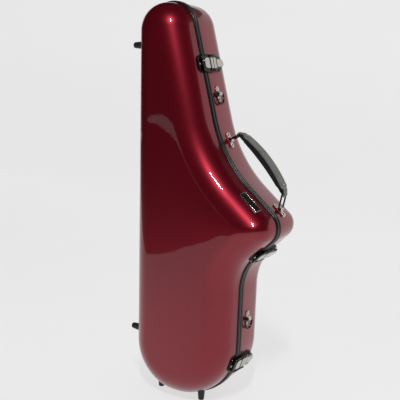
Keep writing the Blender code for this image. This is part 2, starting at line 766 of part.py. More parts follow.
def name_plate():
    """A blank plate on the lid's wall, above the bell, turned with the round-over."""
    seat = Seat(*right_side(PLATE_HEIGHT_Z))
    tilt = math.asin((-PLATE_DEPTH - (LID_DEPTH - LID_EDGE_RADIUS)) / LID_EDGE_RADIUS)
    sideways = DEPTHWISE * math.cos(tilt) + seat.out * math.sin(tilt)
    out = seat.out * math.cos(tilt) - DEPTHWISE * math.sin(tilt)
    drop = DRAFT * (LID_DEPTH - LID_EDGE_RADIUS) + LID_EDGE_RADIUS * (1 - math.cos(tilt))
    centre = seat.at(0, PLATE_DEPTH, -drop)
    half_u, half_v, cut = PLATE_LENGTH / 2, PLATE_WIDTH / 2, 0.0012
    plan = [
        (-half_u + cut, -half_v), (half_u - cut, -half_v), (half_u, -half_v + cut),
        (half_u, half_v - cut), (half_u - cut, half_v), (-half_u + cut, half_v),
        (-half_u, half_v - cut), (-half_u, -half_v + cut),
    ]
    points = [centre + seat.along * u + sideways * v for u, v in plan]
    made = prism("name_plate", points, -out * 0.003, out * 0.0018, PLATE_DARK)
    return seated(made, "lid")


on_lid(name_plate())
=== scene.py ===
"""Contoured case for a tenor saxophone, shut and standing on its feet: the finished surfaces."""

import json
import math

import bmesh
import bpy
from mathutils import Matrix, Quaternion, Vector


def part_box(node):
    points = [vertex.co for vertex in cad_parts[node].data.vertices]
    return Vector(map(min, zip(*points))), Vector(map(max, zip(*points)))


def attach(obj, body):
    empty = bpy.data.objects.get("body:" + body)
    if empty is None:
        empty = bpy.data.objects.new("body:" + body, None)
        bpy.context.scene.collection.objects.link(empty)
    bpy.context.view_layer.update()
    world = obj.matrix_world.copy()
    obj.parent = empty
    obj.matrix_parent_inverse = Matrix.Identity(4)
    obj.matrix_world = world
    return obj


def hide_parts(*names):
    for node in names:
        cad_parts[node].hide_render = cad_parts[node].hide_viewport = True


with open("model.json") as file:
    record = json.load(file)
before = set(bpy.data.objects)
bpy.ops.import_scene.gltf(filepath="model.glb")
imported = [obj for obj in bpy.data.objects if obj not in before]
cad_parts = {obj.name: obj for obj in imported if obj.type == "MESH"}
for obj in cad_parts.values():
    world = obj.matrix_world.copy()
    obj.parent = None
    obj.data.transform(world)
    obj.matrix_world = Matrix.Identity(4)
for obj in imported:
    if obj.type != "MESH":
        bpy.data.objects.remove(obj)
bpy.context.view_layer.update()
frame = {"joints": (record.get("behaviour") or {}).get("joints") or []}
joint_at = {joint["name"]: Vector(joint.get("pos_m", (0, 0, 0))) for joint in frame["joints"]}
joint_axis = {joint["name"]: Vector(joint["axis"]) for joint in frame["joints"]}

# ------------------------------------------------------------------------------------ shells
# Two halves of glass-fibre laminate, 3 mm thick, laid up in moulds and sprayed with a candy
# wine red under a thick clear lacquer. The hinge side is straight; the other side follows the
# saxophone's bow, bell and neck. The walls are barrelled, and the faces crowned, by a little.

front_low, front_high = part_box("front_shell")
back_low, back_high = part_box("back_shell")
SHELL_EDGE = 0.0023                      # from the parting plane to each laminate's edge
PARTING = back_low.y - SHELL_EDGE
SPINE = front_low.x
BOTTOM, TOP = front_low.z, front_high.z
LID_DEPTH = PARTING - front_low.y
TUB_DEPTH = back_high.y - PARTING
LID_ROUND_OVER = 0.052
TUB_ROUND_OVER = 0.040
LAMINATE = 0.003
BARREL = 0.10                            # slope of the side wall where the round-over begins
CROWN = 0.045                            # slope of the face where the round-over ends
CROWN_HEIGHT = 0.0016

BOW_SIDE = Vector((0.0882, BOTTOM))
HOLLOW = Vector((0.0927, 0.3004))
BELL = Vector((0.1925, 0.3985))
WAIST = Vector((0.0368, 0.5205))
NECK = Vector((-0.0508, TOP))
HEEL_RADIUS = 0.1064
TOP_RADIUS = 0.0585
LEAST_FILLET = 0.014


def outline(inset, spine_steps=(), heel_facets=8, shoulder_facets=7):
    """Points round the case's plan, set in from it, anticlockwise from the foot of the spine."""
    corners = (
        (Vector((SPINE, BOTTOM)), HEEL_RADIUS, heel_facets, 6),
        (BOW_SIDE, 0.1320, 26, 8),
        (HOLLOW, 0.1060, 14, 3),
        (BELL, 0.0350, 26, 5),
        (WAIST, 0.2555, 18, 12),
        (NECK, TOP_RADIUS, 20, 2),
        (Vector((SPINE, TOP)), TOP_RADIUS, shoulder_facets, 0),
    )
    arcs = []
    for i, (corner, radius, facets, _) in enumerate(corners):
        before = (corner - corners[i - 1][0]).normalized()
        after = (corners[(i + 1) % len(corners)][0] - corner).normalized()
        out_before, out_after = Vector((before.y, -before.x)), Vector((after.y, -after.x))
        turn = math.atan2(before.cross(after), before.dot(after))
        bisector = (out_before + out_after).normalized()
        side = math.copysign(1.0, turn)
        fillet = max(radius - side * inset, LEAST_FILLET)
        reach = (inset + side * fillet) / math.cos(turn / 2)
        centre = corner - bisector * reach
        start = math.atan2(out_before.y, out_before.x)
        arcs.append(
            [
                centre + side * fillet * Vector((math.cos(angle), math.sin(angle)))
                for angle in (start + turn * k / facets for k in range(facets + 1))
            ]
        )
    points = []
    for i, arc in enumerate(arcs):
        points += arc
        onward = arcs[(i + 1) % len(arcs)][0]
        steps = corners[i][3]
        fractions = [k / steps for k in range(1, steps)] if steps else spine_steps
        points += [arc[-1].lerp(onward, fraction) for fraction in fractions]
    return points


# The spine takes one point at the height of each point across from it, so that straight rows
# run over the faces from one side to the other. The heel's and the shoulder's own points are
# left out of the count: 14 at the start of the outline and 9 at its end.
spine_low, spine_high = BOTTOM + HEEL_RADIUS, TOP - TOP_RADIUS
right_heights = [p.y for p in outline(0)[14:-9]]
spine_steps = [
    (spine_high - height) / (spine_high - spine_low)
    for height in reversed(right_heights)
    if spine_low < height < spine_high
]
heel_facets = sum(height <= spine_low for height in right_heights) - 1
shoulder_facets = sum(height >= spine_high for height in right_heights) - 1


def plan_ring(inset, depth, side):
    """The plan at this inset and depth from the parting: side is -1 in the lid, 1 in the tub."""
    points = outline(inset, spine_steps, heel_facets, shoulder_facets)
    return [Vector((p.x, PARTING + side * depth, p.y)) for p in points]


def wall_inset(depth, straight):
    """How far the side wall has come in at this depth: it is barrelled up to straight."""
    return BARREL * depth * depth / (2 * straight)


def wall_section(full_depth, round_over, first, offset, wall_rows, turn_rows):
    """(inset, depth) down the side wall and round on to the face, offset inwards."""
    straight = full_depth - round_over
    rows = []
    for k in range(wall_rows):
        depth = first + (straight - first) * k / wall_rows
        rows.append((wall_inset(depth, straight) + offset, depth))
    start, end = math.atan(BARREL), math.pi / 2 - math.atan(CROWN)
    reach = round_over - offset
    for k in range(turn_rows + 1):
        angle = start + (end - start) * k / turn_rows
        inset = wall_inset(straight, straight) + round_over - reach * math.cos(angle)
        rows.append((inset, straight + reach * math.sin(angle) - CROWN_HEIGHT))
    return rows


def skin(bm, rings, looped=False):
    """Faces between rings of equal length, in order, and back to the first if looped."""
    rows = [[bm.verts.new(point) for point in ring] for ring in rings]
    onward = [*rows[1:], rows[0]] if looped else rows[1:]
    for a, b in zip(rows, onward):
        for i in range(len(a)):
            j = (i + 1) % len(a)
            bm.faces.new((a[i], a[j], b[j], b[i]))
    return rows


def crowned_face(bm, ring, side):
    """Closes a ring with rows that run across from the spine's side, and swell in the middle."""
    foot = heel_facets + 3
    head = len(ring) - shoulder_facets - 2 - len(spine_steps)
    right = ring[foot + 1 : head]
    left = [ring[(foot - 1 - i) % len(ring)] for i in range(len(right))]
    columns = 14
    previous = None
    for a, b in zip(left, right):
        width = (b.co - a.co).length
        fade = min(1.0, (a.co.z + b.co.z - 2 * BOTTOM) / 0.26, (2 * TOP - a.co.z - b.co.z) / 0.22)
        row = [a]
        for k in range(1, columns):
            across = k / columns
            swell = CROWN * width * across * (1 - across) * math.sin(fade * math.pi / 2)
            row.append(bm.verts.new(a.co.lerp(b.co, across) + Vector((0, side * swell, 0))))
        row.append(b)
        if previous is None:
            for k in range(columns):
                bm.faces.new((ring[foot], row[k + 1], row[k]))
        else:
            for k in range(columns):
                bm.faces.new((previous[k], previous[k + 1], row[k + 1], row[k]))
        previous = row
    for k in range(columns):
        bm.faces.new((previous[k], previous[k + 1], ring[head]))


def finished(name, bm, material, crease=40):
    """A piece from bm at the origin, faces out, smooth but for edges sharper than crease."""
    bmesh.ops.remove_doubles(bm, verts=bm.verts, dist=1e-6)
    bmesh.ops.recalc_face_normals(bm, faces=bm.faces)
    mesh = bpy.data.meshes.new(name)
    bm.to_mesh(mesh)
    bm.free()
    mesh.materials.append(material)
    mesh.shade_smooth()
    mesh.set_sharp_from_angle(angle=math.radians(crease))
    piece = bpy.data.objects.new(name, mesh)
    bpy.context.scene.collection.objects.link(piece)
    return piece


def hex_colour(text):
    """Linear red, green, blue and 1 from an sRGB hex value."""
    channels = (int(text[i : i + 2], 16) / 255 for i in (1, 3, 5))
    linear = [c / 12.92 if c <= 0.04045 else ((c + 0.055) / 1.055) ** 2.4 for c in channels]
    return (*linear, 1.0)


def add_node(tree, kind, inputs, **settings):
    """A node with its settings, each input set to a value or linked from another's socket."""
    node = tree.nodes.new(kind)
    for key, value in settings.items():
        setattr(node, key, value)
    for key, value in inputs.items():
        if isinstance(value, bpy.types.NodeSocket):
            tree.links.new(value, node.inputs[key])
        else:
            node.inputs[key].default_value = value
    return node


def new_finish(name, **constants):
    """A material named for the real one, its tree, and its object coordinates."""
    material = bpy.data.materials.new(name)
    material.use_nodes = True
    shader = material.node_tree.nodes["Principled BSDF"]
    for key, value in constants.items():
        shader.inputs[key.replace("_", " ").title().replace("Ior", "IOR")].default_value = value
    place = add_node(material.node_tree, "ShaderNodeTexCoord", {}).outputs["Object"]
    return material, material.node_tree, place


def drive(material, **sockets):
    """Links each socket to the shader's input of that name."""
    inputs = material.node_tree.nodes["Principled BSDF"].inputs
    for key, socket in sockets.items():
        material.node_tree.links.new(socket, inputs[key.replace("_", " ").title()])
    return material


def noise(tree, place, size, detail=2.0):
    """Noise whose coarsest features are this many metres across."""
    inputs = {"Vector": place, "Scale": 1 / size, "Detail": detail}
    return add_node(tree, "ShaderNodeTexNoise", inputs).outputs["Fac"]


def mixed(tree, factor, deep, pale):
    """A colour between two, each a hex value or another node's socket."""
    deep, pale = (hex_colour(c) if isinstance(c, str) else c for c in (deep, pale))
    mix = add_node(tree, "ShaderNodeMix", {0: factor, 6: deep, 7: pale}, data_type="RGBA")
    return mix.outputs[2]


def bumped(tree, height, strength, distance):
    inputs = {"Height": height, "Strength": strength, "Distance": distance}
    return add_node(tree, "ShaderNodeBump", inputs).outputs["Normal"]


def candy_lacquer():
    """Clear lacquer over candy red over aluminium flake: a mirror above a deep grainy glow."""
    material, tree, place = new_finish(
        "candy_red_lacquer_on_flake", metallic=0.72, coat_weight=1.0, coat_roughness=0.02,
        coat_ior=1.41, roughness=0.38,
    )
    # The flake is about 0.1 mm across, drawn at 0.8 mm so that it shows as a fine grain.
    flake = add_node(tree, "ShaderNodeTexVoronoi", {"Vector": place, "Scale": 1 / 0.0008})
    grain = mixed(tree, flake.outputs["Color"], "#74061A", "#960E2A")
    body = mixed(tree, noise(tree, place, 0.12, 3.0), grain, "#7E081C")
    # Sprayed lacquer keeps an orange-peel ripple of about 5 mm.
    peel = bumped(tree, noise(tree, place, 0.005, 1.0), 0.03, 0.0005)
    return drive(material, base_color=body, coat_normal=peel)


LACQUER = candy_lacquer()


def laminate_half(name, side, full_depth, round_over):
    """One open half: outer skin, crowned face, and an inner skin that the lining hides."""
    bm = bmesh.new()
    outer = wall_section(full_depth, round_over, SHELL_EDGE, 0.0, 8, 22)
    inner = wall_section(full_depth, round_over, SHELL_EDGE, LAMINATE, 3, 8)
    rings = [plan_ring(inset, depth, side) for inset, depth in [*reversed(outer), *inner]]
    rows = skin(bm, rings)
    crowned_face(bm, rows[0], side)
    bm.faces.new(rows[-1])
    return finished(name, bm, LACQUER)


def fit(piece, body, finish_slot, *nodes):
    """Fixes a finished piece to its body, in place of the solids that it stands for."""
    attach(piece, body)
    if nodes:
        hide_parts(*nodes)
    return piece


front_laminate = laminate_half("front_laminate", -1, LID_DEPTH, LID_ROUND_OVER)
fit(front_laminate, "lid", "wine_red_lacquer", "front_shell")
back_laminate = laminate_half("back_laminate", 1, TUB_DEPTH, TUB_ROUND_OVER)
fit(back_laminate, "tub", "wine_red_lacquer", "back_shell")

# ---------------------------------------------------------------------------------- rim trim
# A black plastic channel is pressed over each laminate's edge all round, so that two soft
# black beads meet at the parting line. It is extruded, cut to length and joined at the spine.

RIM_PROUD = 0.0030
RIM_DEPTH = 0.0072
RIM_GAP = 0.0003


def spread(tree, value, low, high):
    """A value from 0 to 1, spread from low to high."""
    inputs = {"Value": value, "To Min": low, "To Max": high}
    return add_node(tree, "ShaderNodeMapRange", inputs).outputs["Result"]


def rim_plastic():
    """Extruded black PVC: satin, with a bloom that is never quite even."""
    material, tree, place = new_finish("extruded_black_pvc", ior=1.5, specular_ior_level=0.5)
    bloom = noise(tree, place, 0.02, 1.0)
    shade = mixed(tree, bloom, "#0E1110", "#1B1F1E")
    return drive(material, base_color=shade, roughness=spread(tree, bloom, 0.26, 0.31))


RIM_PLASTIC = rim_plastic()


def arc_points(x, y, reach_x, reach_y, begin, step, count):
    """Points round an arc or part of an ellipse, from begin in steps, both in degrees."""
    turns = [math.radians(begin + step * k) for k in range(count)]
    return [(x + reach_x * math.cos(turn), y + reach_y * math.sin(turn)) for turn in turns]


def rim_channel(name, side):
    """The channel's section, rounded outside, swept round the plan."""
    section = [(0.0012, RIM_GAP), (-0.0050, RIM_GAP), (-0.0050, RIM_DEPTH), (-0.0037, RIM_DEPTH)]
    section += [(-0.0037, SHELL_EDGE - RIM_GAP), (RIM_GAP, SHELL_EDGE - RIM_GAP)]
    section += [(RIM_GAP, RIM_DEPTH)]
    bead = 0.0024
    for depth, begin in ((RIM_DEPTH - bead, 90), (RIM_GAP + bead, 0)):
        section += arc_points(RIM_PROUD - bead, depth, bead, bead, begin, -15, 7)
    bm = bmesh.new()
    skin(bm, [plan_ring(-proud, depth, side) for proud, depth in section], looped=True)
    return finished(name, bm, RIM_PLASTIC)


fit(rim_channel("front_rim_bead", -1), "lid", "black_edge_trim", "front_rim_trim")
fit(rim_channel("back_rim_bead", 1), "tub", "black_edge_trim", "back_rim_trim")

# -------------------------------------------------------------------------------- rim gasket
# A hollow bulb of black rubber, extruded and glued inside the tub's rim, which the lid's rim
# presses on to keep dust and rain out.

GASKET_WALL_SIDE = 0.0053
GASKET_INSIDE = 0.0078
GASKET_FOOT = 0.0064


def moulded_rubber():
    """Black rubber with carbon filler: dull, slightly grey, with a fine pitted skin."""
    material, tree, place = new_finish("black_natural_rubber", ior=1.52)
    dust = noise(tree, place, 0.03)
    # Pits are about 0.2 mm, drawn at 0.9 mm so that they show.
    pits = bumped(tree, noise(tree, place, 0.0009), 0.2, 0.0002)
    shade = mixed(tree, dust, "#101010", "#232322")
    return drive(material, base_color=shade, roughness=spread(tree, dust, 0.5, 0.7), normal=pits)


RUBBER = moulded_rubber()


def gasket_bulb():
    """The bulb's section, swept round inside the rim."""
    bulb = (GASKET_INSIDE - GASKET_WALL_SIDE) / 2
    section = [(GASKET_WALL_SIDE, GASKET_FOOT), (GASKET_INSIDE, GASKET_FOOT)]
    section += arc_points(GASKET_WALL_SIDE + bulb, 0.0019, bulb, -0.0014, 0, 30, 7)
    bm = bmesh.new()
    skin(bm, [plan_ring(inset, depth, 1) for inset, depth in section], looped=True)
    return finished("gasket_bulb", bm, RUBBER, 50)


fit(gasket_bulb(), "tub", "black_rubber", "rim_gasket")

# ----------------------------------------------------------------------------------- linings
# Foam cut to the instrument's shape and covered in glued black plush. The tub's bed holds the
# body, bow and bell, with a box for the neck; the lid's is an even padded tray.

PLUSH_CELL = 0.0050


def plush():
    """Short-pile synthetic plush: soaks up light, with painted shade in the pile's depths, painted
    highlight on its tips, and a painted sheen where the pile leans.
    """
    material, tree, place = new_finish(
        "black_synthetic_plush", roughness=0.95, sheen_weight=0.5, sheen_roughness=0.4,
        sheen_tint=hex_colour("#8A8A94"), specular_ior_level=0.2,
    )
    # The pile is about 0.15 mm, drawn at 1.2 mm so that it shows.
    pile = noise(tree, place, 0.0012, 3.0)
    # Painted shade and highlight: darker where the pile's bump is low, paler on its tips.
    pile_painted_shade = mixed(tree, pile, "#08080A", "#1E1E23")
    # Painted sheen: broad paler patches where the pile leans.
    shade = mixed(tree, noise(tree, place, 0.045, 3.0), pile_painted_shade, "#16161B")
    return drive(material, base_color=shade, normal=bumped(tree, pile, 0.5, 0.0008))


PLUSH = plush()


def baked(piece):
    """The piece with its modifiers made part of its mesh."""
    graph = bpy.context.evaluated_depsgraph_get()
    mesh = bpy.data.meshes.new_from_object(piece.evaluated_get(graph))
    piece.modifiers.clear()
    piece.data = mesh
    return piece


def covered_foam(name, node):
    """Foam in the solid's shape under plush, which rounds every edge of it."""
    bm = bmesh.new()
    bm.from_mesh(bpy.data.objects[node].data)
    piece = finished(name, bm, PLUSH, 180)
    remesh = piece.modifiers.new("weave", "REMESH")
    remesh.mode = "VOXEL"
    remesh.voxel_size = PLUSH_CELL
    remesh.use_smooth_shade = True
    smooth = piece.modifiers.new("stretch", "SMOOTH")
    smooth.factor, smooth.iterations = 0.5, 7
    return baked(piece)


for name, node, body in (
    ("tub_bed", "back_lining_bed", "tub"), ("lid_padding", "lid_lining", "lid"),
):
    lining = covered_foam(name, node)
    fit(lining, body, "black_plush_lining", node)

# -------------------------------------------------------------------------------------- feet
# Eight tapered feet of black rubber, four under the case and four on its spine, each held by
# a screw at the bottom of a recess in its tip.

FOOT_TIP = 0.0062
FOOT_ROOT = 0.0085
FOOT_TAPER = 0.030
RECESS = 0.0030


def turned(bm, tip, axis, profile, sides=32):
    """A turned form: pairs of distance along the axis and radius, both ends on the axis."""
    side = axis.orthogonal().normalized()
    other = axis.cross(side)
    rings = []
    for distance, radius in profile:
        ring = arc_points(0, 0, radius, radius, 0, 360 / sides, sides)
        rings.append([tip + axis * distance + side * x + other * y for x, y in ring])
    skin(bm, rings)


def rubber_foot(name, node, axis, side):
    """One foot in place of its solid, and the point at the bottom of its recess."""
    low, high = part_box(node)
    length = abs((high - low).dot(axis))
    tip = (low + high) / 2 - axis * length / 2
    profile = [(RECESS, 0.0), (RECESS, 0.0026), (0.0006, 0.0030), (0.0002, 0.0033)]
    profile += [(0.0, 0.0038), (0.0, FOOT_TIP - 0.0012), (0.0003, FOOT_TIP - 0.0004)]
    profile += [(0.0011, FOOT_TIP), (0.0040, FOOT_TIP + 0.0003)]
    profile += [(length * 0.6, FOOT_TIP + (FOOT_ROOT - FOOT_TIP) * length * 0.6 / FOOT_TAPER)]
    profile += [(length, FOOT_TIP + (FOOT_ROOT - FOOT_TIP) * min(1, length / FOOT_TAPER))]
    profile += [(length, 0.0)]
    bm = bmesh.new()
    turned(bm, tip, axis, profile)
    fit(finished(name, bm, RUBBER), side, "black_rubber", node)
    return tip + axis * RECESS


def plated(name, deep, pale, base_roughness):
    """Plated steel: mirror bright, with faint polishing lines and a dulled film of handling."""
    material, tree, place = new_finish(name, metallic=1.0)
    film = noise(tree, place, 0.008, 4.0)
    lines = add_node(tree, "ShaderNodeMapping", {"Vector": place, "Scale": (1.0, 14.0, 1.0)})
    # Polishing lines are about 0.05 mm, drawn at 0.7 mm so that they show.
    polish = bumped(tree, noise(tree, lines.outputs["Vector"], 0.010), 0.06, 0.0003)
    return drive(
        material, base_color=mixed(tree, film, deep, pale), normal=polish,
        roughness=spread(tree, film, base_roughness, base_roughness + 0.12),
    )


BRIGHT_NICKEL = plated("bright_nickel_on_steel", "#B4B0A8", "#CFCBC3", 0.12)
BLACK_NICKEL = plated("black_nickel_on_steel", "#2C2B2B", "#454343", 0.16)


def new_tree(name, sockets, made):
    """A Geometry Nodes tree with these inputs and one output, and its inputs' sockets."""
    tree = bpy.data.node_groups.new(name, "GeometryNodeTree")
    for socket, kind in sockets.items():
        tree.interface.new_socket(socket, in_out="INPUT", socket_type=f"NodeSocket{kind}")
    tree.interface.new_socket(made, in_out="OUTPUT", socket_type="NodeSocketGeometry")
    return tree, add_node(tree, "NodeGroupInput", {}).outputs


def set_on_points(tree, inputs, finish, made):
    """Ends a tree: one instance on each point, made real and given its finish."""
    placed = add_node(tree, "GeometryNodeInstanceOnPoints", inputs)
    real = add_node(
        tree, "GeometryNodeRealizeInstances", {"Geometry": placed.outputs["Instances"]}
    )
    coated = add_node(
        tree, "GeometryNodeSetMaterial",
        {"Geometry": real.outputs["Geometry"], "Material": finish},
    )
    add_node(tree, "NodeGroupOutput", {made: coated.outputs["Geometry"]})


def math_node(tree, operation, a, b):
    return add_node(tree, "ShaderNodeMath", {0: a, 1: b}, operation=operation).outputs["Value"]


def sized(tree, x, y, z):
    return add_node(tree, "ShaderNodeCombineXYZ", {"X": x, "Y": y, "Z": z}).outputs["Vector"]


def heads_tree(name, cross):
    """Round heads set on points: domed for rivets, or with a cross recess for screws."""
    tree, given = new_tree(
        name,
        {"Spots": "Geometry", "Radius": "Float", "Height": "Float", "Finish": "Material"}, "Heads",
    )
    dome = add_node(
        tree, "GeometryNodeMeshUVSphere", {"Segments": 20, "Rings": 10, "Radius": given["Radius"]}
    )
    flat = math_node(tree, "DIVIDE", given["Height"], given["Radius"])
    head = add_node(
        tree, "GeometryNodeTransform",
        {"Geometry": dome.outputs["Mesh"], "Scale": sized(tree, 1.0, 1.0, flat)},
    ).outputs["Geometry"]
    if cross:
        arm = math_node(tree, "MULTIPLY", given["Radius"], 1.1)
        slit = math_node(tree, "MULTIPLY", given["Radius"], 0.26)
        raised = sized(tree, 0.0, 0.0, given["Height"])
        for x, y in ((arm, slit), (slit, arm)):
            size = sized(tree, x, y, given["Height"])
            bar = add_node(tree, "GeometryNodeMeshCube", {"Size": size})
            lifted = add_node(
                tree, "GeometryNodeTransform",
                {"Geometry": bar.outputs["Mesh"], "Translation": raised},
            )
            head = add_node(
                tree, "GeometryNodeMeshBoolean",
                {"Mesh 1": head, "Mesh 2": lifted.outputs["Geometry"]},
                operation="DIFFERENCE", solver="EXACT",
            ).outputs["Mesh"]
    facing = add_node(
        tree, "GeometryNodeInputNamedAttribute", {"Name": "facing"}, data_type="FLOAT_VECTOR"
    )
    upright = add_node(
        tree, "FunctionNodeAlignRotationToVector", {"Vector": facing.outputs["Attribute"]}, axis="Z"
    )
    spots = add_node(tree, "GeometryNodeMeshToPoints", {"Mesh": given["Spots"]})
    inputs = {
        "Points": spots.outputs["Points"], "Instance": head,
        "Rotation": upright.outputs["Rotation"],
    }
    set_on_points(tree, inputs, given["Finish"], "Heads")
    return tree


RIVET_HEADS = heads_tree("domed_rivet_heads", cross=False)
SCREW_HEADS = heads_tree("cross_recess_screw_heads", cross=True)


def grown(name, tree, mesh, crease=35, **sizes):
    """The plain mesh that a tree makes from a mesh of points or edges, as a piece."""
    maker = bpy.data.objects.new(name, mesh)
    bpy.context.scene.collection.objects.link(maker)
    growth = maker.modifiers.new("growth", "NODES")
    growth.node_group = tree
    for item in tree.interface.items_tree:
        if item.name in sizes:
            growth[item.identifier] = sizes[item.name]
    baked(maker)
    maker.data.shade_smooth()
    maker.data.set_sharp_from_angle(angle=math.radians(crease))
    return maker


def heads(name, tree, spots, radius, height, material):
    """Rivet or screw heads at (point, facing) spots."""
    mesh = bpy.data.meshes.new(name)
    mesh.from_pydata([point for point, _ in spots], [], [])
    facing = mesh.attributes.new("facing", "FLOAT_VECTOR", "POINT")
    facing.data.foreach_set("vector", [axis for _, out in spots for axis in out])
    return grown(name, tree, mesh, Radius=radius, Height=height, Finish=material)


foot_screws = {"lid": [], "tub": []}
for side in ("lid", "tub"):
    for place in ("heel", "toe", "spine_high", "spine_low"):
        inward = Vector((1, 0, 0)) if "spine" in place else Vector((0, 0, 1))
        name = f"rubber_foot_{side}_{place}"
        recess = rubber_foot(name, f"foot_{side}_{place}", inward, side)
        foot_screws[side].append((recess, -inward))
    screws = heads(
        f"foot_screws_{side}", SCREW_HEADS, foot_screws[side], 0.0022, 0.0009, BLACK_NICKEL
    )
    fit(screws, side, "nickel_plated_steel")

# ------------------------------------------------------------------------------------ hinges
# Three butt hinges of pressed steel on the spine, stepped over the rim. The tub's leaf has
# the two outer knuckles and the lid's the middle one; a peened pin runs through all three.

KNUCKLE = 0.0032
KNUCKLE_LINE = joint_at["lid_hinge"]
SPINE_FACE = Vector((SPINE, PARTING, 0))
LEAF_HALF = 0.020
KNUCKLE_SPLIT = 0.007
LEAF_REACH = 0.0270


def prism(bm, outline_points, rise):
    """A flat-ended solid: an outline, and the same outline moved by rise."""
    low = [bm.verts.new(p) for p in outline_points]
    high = [bm.verts.new(p + rise) for p in outline_points]
    bm.faces.new(low)
    bm.faces.new(high)
    for i in range(len(low)):
        j = (i + 1) % len(low)
        bm.faces.new((low[i], low[j], high[j], high[i]))


def eased(name, bm, material, edge, steps=2):
    """A metal piece with every sharp edge rounded off by a polishing wheel."""
    piece = finished(name, bm, material, 180)
    bevel = piece.modifiers.new("polished_edges", "BEVEL")
    bevel.width, bevel.segments = edge, steps
    bevel.limit_method, bevel.angle_limit = "ANGLE", math.radians(38)
    bevel.harden_normals = True
    bevel.use_clamp_overlap = True
    return baked(piece)


def hinge_leaf(name, side_sign, height, knuckles):
    """The leaf, stepped over the rim and rolled round the pin."""
    def at(v, w):
        return SPINE_FACE + Vector((-w, side_sign * v, height - LEAF_HALF))

    over_rim = RIM_PROUD + 0.0004
    step = [
        (0.0046, over_rim), (RIM_DEPTH + 0.0008, over_rim), (RIM_DEPTH + 0.0008, -0.002),
        (LEAF_REACH, -0.002), (LEAF_REACH, 0.0004), (RIM_DEPTH + 0.0032, 0.0012),
        (RIM_DEPTH + 0.0026, 0.0020), (RIM_DEPTH + 0.0020, over_rim + 0.0010),
        (RIM_DEPTH + 0.0008, over_rim + 0.0014), (0.0046, over_rim + 0.0014),
    ]
    bm = bmesh.new()
    prism(bm, [at(v, w) for v, w in step], Vector((0, 0, 2 * LEAF_HALF)))
    for low, high in knuckles:
        tab = [
            (0.0008, over_rim + 0.0001), (0.0050, over_rim + 0.0001),
            (0.0050, over_rim + 0.0013), (0.0008, over_rim + 0.0013),
        ]
        lift = Vector((0, 0, low + LEAF_HALF))
        prism(bm, [at(v, w) + lift for v, w in tab], Vector((0, 0, high - low)))
        start = Vector((KNUCKLE_LINE.x, KNUCKLE_LINE.y, height + low))
        ends = high - low
        barrel = [(0.0, 0.0), (0.0, KNUCKLE - 0.0004), (0.0001, KNUCKLE - 0.0001)]
        barrel += [(0.0004, KNUCKLE), (ends - 0.0004, KNUCKLE), (ends - 0.0001, KNUCKLE - 0.0001)]
        barrel += [(ends, KNUCKLE - 0.0004), (ends, 0.0)]
        turned(bm, start, Vector((0, 0, 1)), barrel, 28)
    return eased(name, bm, BRIGHT_NICKEL, 0.00025)


def pin_rod(bm, start, end, radius, dome=0.0006, sides=20):
    """A rod with domed ends."""
    length = (end - start).length
    profile = [(0.0, 0.0), (0.1 * dome, 0.5 * radius), (0.4 * dome, 0.85 * radius), (dome, radius)]
    profile += [(length - distance, size) for distance, size in reversed(profile)]
    turned(bm, start, (end - start).normalized(), profile, sides)


hinge_screws = {"lid": [], "tub": []}
for place in ("lower", "middle", "upper"):
    low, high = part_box(f"hinge_{place}_pin")
    height = (low.z + high.z) / 2
    outer = ((-LEAF_HALF, -KNUCKLE_SPLIT), (KNUCKLE_SPLIT, LEAF_HALF))
    inner = ((-KNUCKLE_SPLIT + 0.0003, KNUCKLE_SPLIT - 0.0003),)
    for side, side_sign, knuckles in (("tub", 1, outer), ("lid", -1, inner)):
        leaf = hinge_leaf(f"hinge_leaf_{place}_{side}", side_sign, height, knuckles)
        fit(leaf, side, "nickel_plated_steel", f"hinge_{place}_{side}_leaf")
        for u in (-0.0125, 0.0125):
            for v, w in ((0.0145, 0.0008), (0.0225, 0.0004)):
                spot = SPINE_FACE + Vector((-w, side_sign * v, height + u))
                hinge_screws[side].append((spot, Vector((-1, 0, 0))))
    bm = bmesh.new()
    centre = Vector((KNUCKLE_LINE.x, KNUCKLE_LINE.y, height))
    reach = Vector((0, 0, (high.z - low.z) / 2))
    pin_rod(bm, centre - reach, centre + reach, 0.0013)
    pin = finished(f"hinge_peened_pin_{place}", bm, BRIGHT_NICKEL)
    fit(pin, "tub", "nickel_plated_steel", f"hinge_{place}_pin")
for side, spots in hinge_screws.items():
    screws = heads(f"hinge_screws_{side}", SCREW_HEADS, spots, 0.0021, 0.0008, BRIGHT_NICKEL)
    fit(screws, side, "nickel_plated_steel")

# ----------------------------------------------------------------------------------- latches
# Three draw latches along the handle's side: a riveted base and a lever on the tub, a claw
# on the lever, and a keeper on the lid. Pressed steel in black nickel, with painted highlights of
# bright plating on the raised panels.

LEVER_PIVOT = (0.0140, 0.0059)
CLAW_PIVOT = (0.0300, 0.0059)
LATCH_HALF = 0.018
LEVER_HALF = 0.013


def seat(origin, along, out):
    """A map from (along the wall, behind the parting, out of it) to a point."""
    def at(u, v, w):
        return origin + along * u + Vector((0, v, 0)) + out * w

    return at


def on_wall(joint):
    """The seat of this joint's latch, and the directions along the wall and out of it."""
    along = -joint_axis[joint].normalized()
    out = Vector((along.z, 0, -along.x))
    origin = joint_at[joint] - Vector((0, 1, 0)) * LEVER_PIVOT[0] - out * LEVER_PIVOT[1]
    return seat(origin, along, out), along, out


def rounded_plan(half, start, end, start_radius, end_radius, steps=6):
    """(u, v) points of a plate whose four corners are rounded."""
    corners = (
        (-half, start, start_radius, 180), (half, start, start_radius, 270),
        (half, end, end_radius, 0), (-half, end, end_radius, 90),
    )
    points = []
    for u, v, radius, begin in corners:
        centre_u = u - math.copysign(radius, u)
        centre_v = v + radius if v == start else v - radius
        points += arc_points(centre_u, centre_v, radius, radius, begin, 90 / steps, steps + 1)
    return points


